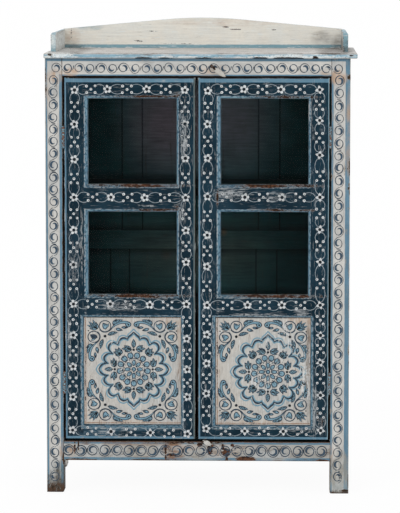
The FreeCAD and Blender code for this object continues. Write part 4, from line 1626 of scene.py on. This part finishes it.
        # Painted pools of light, where light comes in through the panes.
        light_pools = (Patch((-115, 1010), (200, 270), 0.9, Hue.INSIDE_PLUM),
                 Patch((85, 1015), (210, 270), 0.7, Hue.INSIDE_PLUM),
                 Patch((-125, 630), (230, 190), 0.6, Hue.INSIDE_BROWN),
                 Patch((75, 630), (230, 190), 0.6, Hue.INSIDE_BROWN),
                 Patch((-112, 624), (22, 24), 0.5, Hue.INSIDE_BROWN),
                 Patch((55, 690), (14, 16), 0.6, Hue.WOOD_PALE))
        for name in ("back_top_rail", "back_mid_rail", "back_bottom_rail"):
            finish = InsideCoat(light_pools=light_pools, shaded_ledges=shaded_ledges)
            self.timber.dress(name, finish.make(f"{name}_wood", Axis.X), 1.2)
        finish = InsideCoat(light_pools=light_pools, shaded_ledges=shaded_ledges + rails)
        self.timber.dress("back_muntins", finish.make("back_muntins_wood", Axis.Z), 1.2)
        finish = InsideCoat(light_pools=light_pools, shaded_ledges=shaded_ledges + rails, joints=joints)
        self.timber.dress("back_boards", finish.make("back_boards_wood", Axis.Z), 0.0)

    def inner(self) -> None:
        """Dress the floor, the shelves and their bearers."""
        # The floor, the shelves and their bearers take the inside teal darkened: painted shade.
        finish = InsideCoat(coat=Hue.INSIDE_TEAL_SHADED, light=Hue.WOOD_BROWN, dark=Hue.DARK_WOOD_AND_SHADE,
                            outward=(2, -1.0))
        for name, grain in (("floor_boards", Axis.X), ("shelf_lower", Axis.X), ("shelf_upper", Axis.X),
                            ("shelf_bearers", Axis.Y)):
            self.timber.dress(name, finish.make(f"{name}_wood", grain))

    def scrolls(self) -> None:
        """Paint the rows of scrolls on the posts and the rails."""
        face = self.timber.box("header_rail")[0].y
        worn = (Patch((-375, 1180), (34, 16), 0.5), Patch((352, 1178), (34, 18), 0.9),
                Patch((80, 112), (120, 22), 1.2), Patch((-90, 116), (40, 26), 1.5),
                Patch((300, 118), (70, 20), 0.7), Patch((404, 1000), (12, 160), 0.8),
                Patch((-410, 40), (30, 60), 0.8), Patch((390, 50), (30, 70), 0.9))
        thin = BrushPaint(Hue.SLATE, Hue.COMMA_BLUE, 0.3, Axis.X, worn).make("scroll_line_paint")
        thick = BrushPaint(Hue.COMMA_BLUE, Hue.SLATE, 0.4, Axis.X, worn).make("scroll_comma_paint")
        line = Brush("scroll_lines", "carcass", "navy_paint", thin, face, 0.05, 0.06)
        comma = Brush("scroll_commas", "carcass", "navy_paint", thick, face, 0.13, 0.06)
        hand = Hand(11)
        header = ScrollRow(line, comma, hand)
        posts = ScrollRow(line, comma, hand, long=15.2, wide=12.8, turns=1.58)
        foot = ScrollRow(line, comma, hand, long=16.2, wide=16.4, turns=1.8, thin=1.9)
        header.draw((-396.7, 1182.0), (377.7, 1181.0), 26)
        posts.draw((-405.5, 1147.0), (-405.5, 45.0), 34)
        posts.draw((381.5, 1148.0), (381.5, 46.0), 33)
        foot.draw((-367.0, 118.0), (336.8, 118.0), 22)
        for brush in (line, comma):
            brush.build()


@dataclass
class Top:
    """The top board and the gallery on it.

    Attributes:
        timber: The wooden nodes.
    """

    timber: Timber

    def build(self) -> None:
        """Dress the board and the three boards of the gallery."""
        low, high = self.timber.box("top_board")
        self.timber.paint("top_board", WoodPaint(
            ground=Hue.TOP_CREAM, under=Hue.TOP_WHITE, wood=Hue.DARK_WOOD_AND_SHADE, rub=0.75,
            chip=0.35, edge_chip=0.9, grime=0.9, crack=1.6,
            bands=(Band("z", low.z - PAST_EDGE, high.z - 1.5, Hue.TOP_BLUE),),
            stained=(Patch((-368, high.z), (60, 5), 1.0, Hue.DIRT_AND_SHADE),
                     Patch((368, high.z), (56, 5), 1.2, Hue.DIRT_AND_SHADE),
                     Patch((0, high.z), (420, 3), 0.5, Hue.CREAM_BARE)),
            rubbed=(Patch((-390, 1216), (60, 12), 1.3), Patch((-60, 1213), (120, 8), 0.9),
                    Patch((250, 1213), (190, 8), 1.5)),
            chipped=(Patch((-415, 1219), (12, 5)), Patch((-155, 1210), (34, 4), 1.6),
                     Patch((-100, 1210), (18, 3), 1.6), Patch((10, 1210), (30, 4), 1.4),
                     Patch((165, 1210), (26, 5), 1.5), Patch((240, 1210), (50, 4), 1.7),
                     Patch((315, 1212), (10, 8), 1.8), Patch((414, 1217), (10, 7), 1.2)),
        ), Axis.X, 0.0)
        foot = self.timber.box("gallery_back")[0].z
        self.timber.paint("gallery_back", WoodPaint(
            ground=Hue.GALLERY_CREAM, aged=Hue.GALLERY_PALE, under=Hue.TOP_WHITE, rub=0.6, chip=0.15,
            edge_chip=0.6, grime=0.1, crack=0.7, crest=Hue.GALLERY_BLUE,
            bands=(edge_band("z", foot, 9.5, Hue.GALLERY_BLUE),),
            stained=(Patch((-382, 1254), (28, 34), 0.5), Patch((336, 1252), (36, 26), 0.4, Hue.DIRT_AND_SHADE),
                     Patch((384, 1232), (24, 34), 0.5, Hue.DIRT_AND_SHADE),
                     Patch((-330, 1284), (44, 12), 0.7, Hue.PALE_BLUE),
                     Patch((-384, 1228), (40, 12), 0.7, Hue.GREY_GREEN), Patch((60, 1296), (200, 12), 0.35)),
            chipped=(Patch((-190, 1244), (28, 5), 0.95), Patch((-150, 1272), (30, 3)),
                     Patch((90, 1277), (26, 2.5), 1.3), Patch((60, 1284), (14, 2.5), 1.3),
                     Patch((200, 1276), (14, 2), 1.3), Patch((-60, 1236), (110, 2.5), 0.9),
                     Patch((-384, 1262), (3, 44), 0.9)),
        ), Axis.X, 1.8)
        for side, rub in (("left", 1.0), ("right", 0.4)):
            self.timber.paint(f"gallery_side_{side}", WoodPaint(
                under=Hue.TOP_WHITE, rub=rub, chip=0.4, edge_chip=1.2, grime=0.4, crest=Hue.PALE_BLUE,
                bands=(edge_band("z", foot, 60.0, Hue.GALLERY_BLUE),),
                stained=(Patch((384, 1232), (30, 34), 1.0, Hue.DIRT_AND_SHADE),
                         Patch((-414, 1252), (26, 26), 1.0, Hue.TOP_WHITE)),
            ), Axis.Y, 1.2)


class Side(Enum):
    """Which door."""

    LEFT = "left"
    RIGHT = "right"


@dataclass(frozen=True)
class DoorPaint:
    """What differs between the two doors.

    Attributes:
        rows: The rows of flowers.
        hinge_strip: The width of the light strip along the hinge edge.
        meeting_strip: The width of the strip along the meeting edge.
        hinge_hue: The first strip's colour.
        meeting_hue: The second strip's colour.
        medallion: The medallion's centre.
        scuffed: Places on the frame where the paint is rubbed.
        chipped: Places on the frame where it has gone.
        panel_worn: Places on the panel where the ornament has gone.
        seed: The seed of the door's drawing hand.
        faded: Places on the frame where the paint is stained.
    """

    rows: tuple[FlowerRow, ...]
    hinge_strip: float
    meeting_strip: float
    hinge_hue: Hue
    meeting_hue: Hue
    medallion: Point
    scuffed: tuple[Patch, ...]
    chipped: tuple[Patch, ...]
    panel_worn: tuple[Patch, ...]
    seed: int
    faded: tuple[Patch, ...] = ()


DOOR_PAINTS = {
    Side.LEFT: DoorPaint(
        rows=(
            FlowerRow((1122, 1028, 930, 825, 735, 638, 529, 442, 353, 268, 175), (-346, -356), True),
            FlowerRow((1122, 1029, 934, 825, 734, 647, 529, 432, 347, 270, 166), (-43, -36), True),
            FlowerRow((-346, -256, -148, -43), (1124, 1124)),
            FlowerRow((-347, -248, -153, -43), (826, 825)),
            FlowerRow((-350, -250, -140, -42), (529, 527)),
            FlowerRow((-356, -249, -139, -35), (174, 166), petals=4),
        ),
        hinge_strip=5.6, meeting_strip=5.4, hinge_hue=Hue.LIGHT_BLUE, meeting_hue=Hue.GREY_GREEN,
        medallion=(-185.5, 345.5),
        scuffed=(Patch((-46, 1000), (17, 105), 1.3), Patch((-226, 525), (80, 18), 1.1),
                 Patch((-250, 166), (90, 20), 0.7), Patch((-348, 640), (20, 70), 0.8),
                 Patch((-366, 440), (10, 160), 0.8), Patch((-52, 790), (16, 50), 0.9),
                 Patch((-318, 420), (6, 140), 1.1), Patch((-328, 700), (6, 130), 0.9)),
        chipped=(Patch((-195, 551), (40, 6), 1.7), Patch((-108, 548), (46, 7), 1.1),
                 Patch((-62, 1108), (14, 10)), Patch((-66, 802), (14, 10)),
                 Patch((-110, 856), (60, 6)), Patch((-250, 860), (90, 3), 0.9)),
        panel_worn=(Patch((-232, 355), (30, 80), 0.7), Patch((-236, 288), (36, 30), 0.9),
                    Patch((-240, 420), (22, 26), 0.8), Patch((-150, 350), (14, 60), 0.6),
                    Patch((-186, 340), (80, 80), 0.35)),
        seed=21,
        faded=(Patch((-290, 166), (70, 26), 0.35, Hue.LIGHT_BLUE),
               Patch((-200, 180), (150, 9), 0.3, Hue.LIGHT_BLUE)),
    ),
    Side.RIGHT: DoorPaint(
        rows=(
            FlowerRow((1120, 1028, 934, 828, 721, 635, 526, 445, 364, 280, 181), (21, 16), True),
            FlowerRow((1123, 1039, 944, 827, 738, 648, 528, 444, 368, 276, 177), (327, 334), True, petals=4),
            FlowerRow((21, 120, 221, 327), (1124, 1124)),
            FlowerRow((23, 123, 225, 324), (827, 827)),
            FlowerRow((20, 131, 226, 328), (527, 527)),
            FlowerRow((16, 123, 230, 334), (174, 175), petals=4),
        ),
        hinge_strip=3.5, meeting_strip=6.1, hinge_hue=Hue.PALE_BLUE, meeting_hue=Hue.LIGHT_BLUE,
        medallion=(187.4, 339.9),
        scuffed=(Patch((80, 835), (70, 22), 1.1), Patch((215, 828), (60, 18), 0.9),
                 Patch((280, 506), (26, 14), 1.4), Patch((150, 500), (120, 8), 0.9),
                 Patch((300, 1050), (14, 60), 0.9), Patch((318, 250), (8, 120), 1.1),
                 Patch((48, 440), (6, 160)), Patch((280, 176), (50, 14), 0.9)),
        chipped=(Patch((47, 824), (5, 40), 1.3), Patch((200, 858), (60, 5)),
                 Patch((240, 552), (60, 6), 1.1), Patch((334, 210), (18, 50)),
                 Patch((100, 856), (60, 3), 0.9)),
        panel_worn=(Patch((238, 425), (34, 76)), Patch((292, 330), (24, 130)),
                    Patch((170, 300), (46, 60), 0.7), Patch((190, 420), (40, 50), 0.7),
                    Patch((206, 348), (16, 70), 0.5), Patch((187, 340), (120, 120), 0.45)),
        seed=22,
    ),
}


@dataclass
class Door:
    """One door: frame, panel, panes and the paint on them.

    Attributes:
        timber: The wooden nodes.
        side: Which door it is.
        top_strip: The width of the line along its top.
        bottom_strip: The width of the line along its bottom.
        top_shadow: The width of the painted shadow along its top.
        side_shadow: The width of the painted shadow along each side.
        tongue: How far the panel lies in the grooves of the frame.
    """

    timber: Timber
    side: Side
    top_strip: float = 12.4
    bottom_strip: float = 6.3
    top_shadow: float = 2.0
    side_shadow: float = 1.7
    tongue: float = 7.0

    @property
    def body(self) -> str:
        """The door's body."""
        return f"{self.side.value}_door"

    def node(self, name: str) -> str:
        """The full name of one of the door's nodes."""
        return f"{self.body}_{name}"

    def build(self) -> None:
        """Dress the door."""
        self.frame()
        self.panes()
        self.panel()
        self.flowers()

    def frame(self) -> None:
        """Paint the stiles and the rails."""
        paint = DOOR_PAINTS[self.side]
        outward = -1 if self.side is Side.LEFT else 1
        hinge_low, hinge_high = self.timber.box(self.node("hinge_stile"))
        meet_low, meet_high = self.timber.box(self.node("meeting_stile"))
        level = (edge_band("z", hinge_high.z, -self.top_strip, Hue.LIGHT_BLUE),
                 edge_band("z", hinge_low.z, self.bottom_strip, Hue.LIGHT_BLUE),
                 edge_band("z", hinge_high.z, -self.top_shadow, Hue.DARK_WOOD_AND_SHADE))
        hinge_edge = hinge_low.x if outward < 0 else hinge_high.x
        meet_edge = meet_high.x if outward < 0 else meet_low.x
        strips = {
            "hinge_stile": (hinge_edge, -outward * paint.hinge_strip, paint.hinge_hue),
            "meeting_stile": (meet_edge, outward * paint.meeting_strip, paint.meeting_hue),
        }
        for name, grain in (("hinge_stile", Axis.Z), ("meeting_stile", Axis.Z), ("top_rail", Axis.X),
                            ("mid_rail", Axis.X), ("lock_rail", Axis.X), ("bottom_rail", Axis.X)):
            bands = level
            if name in strips:
                edge, width, hue = strips[name]
                shadow = math.copysign(self.side_shadow, width)
                bands += (edge_band("x", edge, width, hue), edge_band("x", edge, shadow, Hue.DARK_WOOD_AND_SHADE))
            self.timber.paint(self.node(name), WoodPaint(
                ground=Hue.NAVY, aged=Hue.NAVY_SOFT, under=Hue.SCUFF, rub=0.35, chip=0.22, edge_chip=0.5,
                grime=0.1, bands=bands, stained=paint.faded, rubbed=paint.scuffed,
                chipped=paint.chipped + self.sills(), moulding=Hue.LIGHT_BLUE, inside_ways=(Way.BACK,),
                shaded_edge_ways=ALL_ROUND, roughness=0.55, gloss=0.06,
            ), grain)

    def sills(self) -> tuple[Patch, ...]:
        """The bevels under and over the panes, where the paint has suffered most."""
        found = []
        for height in ("upper", "lower"):
            low, high = self.timber.box(self.node(f"{height}_glass"))
            middle, half = (low.x + high.x) / 2, (high.x - low.x) / 2
            found.append(Patch((middle + 0.15 * half, low.z + 1), (half * 1.6, 8), 1.4))
            found.append(Patch((middle + 0.4 * half, high.z), (half * 1.1, 6), 1.2))
        return tuple(found)

    def panes(self) -> None:
        """Dress the glass, the beads that hold it and the hinges' leaves."""
        for height in ("upper", "lower"):
            glass = glass_material(f"{self.body}_{height}_pane")
            self.timber.dress(self.node(f"{height}_glass"), glass, 0.0)
            coat = InsideCoat(outward=(2, 9.0), side_shade=0.3).make(f"{self.body}_{height}_bead_wood", Axis.X)
            self.timber.dress(self.node(f"{height}_beads"), coat, 0.5)
        iron = iron_material(f"{self.body}_leaf_iron", Hue.PALE_BLUE)
        self.timber.dress(self.node("hinge_leaves"), iron, 0.0)

    def opening(self) -> tuple[Point, Point]:
        """The panel's visible corners."""
        low, high = self.timber.box(self.node("panel"))
        bottom = self.timber.box(self.node("bottom_rail"))[1].z
        top = self.timber.box(self.node("lock_rail"))[0].z
        return (low.x + self.tongue, bottom), (high.x - self.tongue, top)

    def panel(self) -> None:
        """Paint the panel and its ornament."""
        paint = DOOR_PAINTS[self.side]
        low, high = self.opening()
        name = self.node("panel")
        middle = ((low[0] + high[0]) / 2, (low[1] + high[1]) / 2)
        soiled = 0.7 if self.side is Side.RIGHT else 0.2
        stains = (Patch((low[0] + 5, middle[1]), (9, 190), 0.35),
                  Patch((middle[0], low[1] + 5), (170, 9), 0.35),
                  Patch((high[0] - 4, 400), (12, 120), 0.4),
                  Patch((high[0] - 30, high[1] - 8), (50, 16), 0.5),
                  Patch((high[0] - 6, middle[1]), (14, 150), soiled, Hue.DIRT_AND_SHADE))
        # The brown lines at the left and the bottom are the panel's own, the dark lines at the top and the
        # left are painted shadow of the frame, and the pale line at the right is worn paint.
        rims_and_shadows = (Band("x", low[0] + 3.5, low[0] + 5.6, Hue.RIM_BROWN),
                Band("z", low[1] + 2.6, low[1] + 4.6, Hue.RIM_BROWN),
                Band("z", high[1] - 2.4, high[1] + 9, Hue.DIRT_AND_SHADE),
                Band("x", high[0] - 1.8, high[0] + 9, Hue.CREAM_BARE),
                Band("x", low[0] - 9, low[0] + 0.9, Hue.DIRT_AND_SHADE))
        self.timber.paint(name, WoodPaint(
            ground=Hue.PANEL_CREAM, under=Hue.PANEL_SCUFF, wood=Hue.RUST, rub=0.45,
            chip=0.1, edge_chip=0.0, grime=0.5, crack=1.2, bands=rims_and_shadows, stained=stains,
            rubbed=paint.panel_worn, inside_ways=(Way.BACK,),
            chipped=(Patch((low[0] + 4, middle[1]), (4, 190)),
                     Patch((low[0] + 4, high[1] - 30), (4, 40)),
                     Patch((middle[0] - 30, low[1] + 3), (110, 4), 0.9)),
        ), Axis.Z, 0.0)
        face = self.timber.box(name)[0].y
        brushes = {}
        for key, hue, shade, lost, lift in (
            ("pale", Hue.LINE_BLUE, Hue.PALE_BLUE, 0.5, 0.05),
            ("dark", Hue.LEAF_DARK, Hue.COMMA_BLUE, 0.5, 0.13),
            ("blue", Hue.LEAF_BLUE, Hue.PALE_BLUE, 0.55, 0.21),
            ("black", Hue.MOTIF_BLACK, Hue.LEAF_DARK, 0.4, 0.29),
        ):
            made = BrushPaint(hue, shade, lost, Axis.Z, paint.panel_worn).make(f"{name}_{key}_paint")
            brushes[key] = Brush(f"{name}_{key}_strokes", self.body, "navy_paint", made, face, lift, 0.06)
        PanelOrnament(brushes["pale"], brushes["dark"], brushes["blue"], brushes["black"], Hand(paint.seed),
                      paint.medallion, low, high).draw()
        for brush in brushes.values():
            brush.build()

    def flowers(self) -> None:
        """Paint the chains of flowers on the frame."""
        paint = DOOR_PAINTS[self.side]
        face = self.timber.box(self.node("mid_rail"))[0].y
        grey = BrushPaint(Hue.MOTIF_LINE, Hue.NAVY_SOFT, 0.3, Axis.X, paint.scuffed)
        pale = BrushPaint(Hue.MOTIF_WHITE, Hue.MOTIF_GREY, 0.25, Axis.X, paint.scuffed)
        dark = BrushPaint(Hue.MOTIF_BLACK, Hue.NAVY, 0.1, Axis.X)
        line = Brush(f"{self.body}_flower_lines", self.body, "cream_paint",
                     grey.make(f"{self.body}_line_paint"), face, 0.04, 0.05)
        white = Brush(f"{self.body}_petals", self.body, "cream_paint",
                      pale.make(f"{self.body}_petal_paint"), face, 0.11, 0.05)
        black = Brush(f"{self.body}_flower_eyes", self.body, "navy_paint",
                      dark.make(f"{self.body}_eye_paint"), face, 0.18, 0.05)
        chain = FlowerChain(line, white, black, Hand(paint.seed + 10))
        for row in paint.rows:
            chain.draw(row)
        for brush in (line, white, black):
            brush.build()


@dataclass
class Fastenings:
    """Hinges, pins, turn-buttons and nails.

    Attributes:
        timber: The nodes to dress.
    """

    timber: Timber

    def build(self) -> None:
        """Dress the iron and the two wooden buttons."""
        self.timber.dress("hinge_frame_leaves", iron_material("frame_leaf_iron", Hue.PALE_BLUE), 0.0)
        self.timber.dress("hinge_pins", iron_material("pin_iron", None), 0.0)
        self.timber.dress("turn_button_nails", iron_material("nail_iron", None), 0.0)
        for name, worn in (("top_turn_button", Patch((38, 1183), (8, 7), 1.2)),
                           ("bottom_turn_button", Patch((37, 130), (13, 9), 1.8))):
            self.timber.paint(name, WoodPaint(
                aged=Hue.CREAM_BARE, wood=Hue.DARK_WOOD_AND_SHADE, rub=0.6, chip=0.9, edge_chip=1.0, grime=0.8,
                chipped=(worn,), shaded_edge_ways=ALL_ROUND,
            ), Axis.X, 1.4)


@dataclass
class Studio:
    """The floor, the lights and the camera.

    Attributes:
        eye: Where the camera stands, in metres.
        pitch: How far it looks down, in radians.
        heading: How far it is turned to the right, in radians.
        lens: Its focal length in millimetres.
        sensor: Its width in millimetres.
        floor_radius: How far the floor reaches, in metres.
        sky: How bright the sky lights the cabinet.
        floor_glow: How far the floor is plain white to the camera.
    """

    eye: tuple[float, float, float] = (0.2454, -8.218, 1.5163)
    pitch: float = 0.1063
    heading: float = -0.0308
    lens: float = 204.4
    sensor: float = 36.0
    floor_radius: float = 150.0
    sky: float = 0.8
    floor_glow: float = 0.95

    def build(self) -> None:
        """Set up everything that isn't the cabinet."""
        self.floor()
        self.lights()
        self.camera()

    def floor(self) -> None:
        """Lay a round pale floor."""
        g = Graph("studio_floor")
        cloud = g.noise(900.0, detail=2.0)
        pale = Colour(g, Hue.FLOOR).lit(0.98 + 0.04 * cloud)
        shader = g.node("ShaderNodeBsdfPrincipled", {},
                        {"Base Color": pale, "Roughness": 0.9, "Specular IOR Level": 0.1})
        glow = g.node("ShaderNodeEmission", {}, {"Color": (1.0, 1.0, 1.0, 1.0), "Strength": 1.0})
        path = g.node("ShaderNodeLightPath")
        seen = Value(g, path.outputs["Is Camera Ray"]).most(Value(g, path.outputs["Is Glossy Ray"])).most(
            Value(g, path.outputs["Is Transmission Ray"]))
        mix = g.node("ShaderNodeMixShader", {}, {0: seen * self.floor_glow})
        output = g.node("ShaderNodeOutputMaterial")
        g.tree.links.new(shader.outputs[0], mix.inputs[1])
        g.tree.links.new(glow.outputs[0], mix.inputs[2])
        g.tree.links.new(mix.outputs[0], output.inputs[0])
        rings, count = (0.0, 2.0, 8.0, self.floor_radius), 48
        turns = [math.tau * i / count for i in range(count)]
        corners = [(0.0, 0.0, 0.0)]
        for radius in rings[1:]:
            corners += [(radius * math.cos(turn), radius * math.sin(turn), 0.0) for turn in turns]
        faces: list[tuple[int, ...]] = [(0, 1 + i, 1 + (i + 1) % count) for i in range(count)]
        for ring in range(len(rings) - 2):
            inner, outer = 1 + ring * count, 1 + (ring + 1) * count
            for i in range(count):
                after = (i + 1) % count
                faces.append((inner + i, outer + i, outer + after, inner + after))
        mesh = bpy.data.meshes.new("studio_floor")
        mesh.from_pydata(corners, [], faces)
        mesh.materials.append(g.material)
        floor = bpy.data.objects.new("studio_floor", mesh)
        bpy.context.scene.collection.objects.link(floor)

    def lights(self) -> None:
        """Light the cabinet with a white sky and two soft lamps."""
        world = bpy.data.worlds.new("studio_sky")
        bpy.context.scene.world = world
        world.use_nodes = True
        back = world.node_tree.nodes["Background"]
        back.inputs["Color"].default_value = (1.0, 1.0, 1.0, 1.0)
        path = world.node_tree.nodes.new("ShaderNodeLightPath")
        seen = world.node_tree.nodes.new("ShaderNodeMapRange")
        seen.inputs["To Min"].default_value = self.sky
        seen.inputs["To Max"].default_value = 1.0
        world.node_tree.links.new(path.outputs["Is Camera Ray"], seen.inputs["Value"])
        world.node_tree.links.new(seen.outputs["Result"], back.inputs["Strength"])
        for name, way, strength, spread in (
            ("key", (0.45, 0.8, -0.55), 0.75, 25.0),
            ("fill", (-0.6, 0.7, -0.35), 0.3, 40.0),
            ("rear", (0.1, -0.9, -0.5), 0.45, 40.0),
        ):
            data = bpy.data.lights.new(name, "SUN")
            data.energy = strength
            data.angle = math.radians(spread)
            lamp = bpy.data.objects.new(name, data)
            lamp.rotation_euler = Vector(way).to_track_quat("-Z", "Y").to_euler()
            bpy.context.scene.collection.objects.link(lamp)

    def camera(self) -> None:
        """Stand the camera where the photograph was taken."""
        data = bpy.data.cameras.new("camera")
        data.lens = self.lens
        data.sensor_width = self.sensor
        data.clip_end = 200.0
        camera = bpy.data.objects.new("camera", data)
        level = math.cos(self.pitch)
        forward = Vector((math.sin(self.heading) * level, math.cos(self.heading) * level,
                          -math.sin(self.pitch)))
        right = Vector((math.cos(self.heading), -math.sin(self.heading), 0.0))
        up = right.cross(forward)
        turn = Matrix((right, up, -forward)).transposed()
        camera.matrix_world = Matrix.Translation(self.eye) @ turn.to_4x4()
        bpy.context.scene.collection.objects.link(camera)
        bpy.context.scene.camera = camera
        settings = bpy.context.scene.view_settings
        settings.view_transform = "Standard"


def main() -> None:
    """Build the cabinet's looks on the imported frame."""
    logging.basicConfig(level=logging.INFO, format="%(name)s: %(message)s")
    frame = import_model()
    timber = Timber(frame["nodes"])
    Carcass(timber).build()
    Top(timber).build()
    for side in Side:
        Door(timber, side).build()
    Fastenings(timber).build()
    Studio().build()


if __name__ == "__main__":
    main()
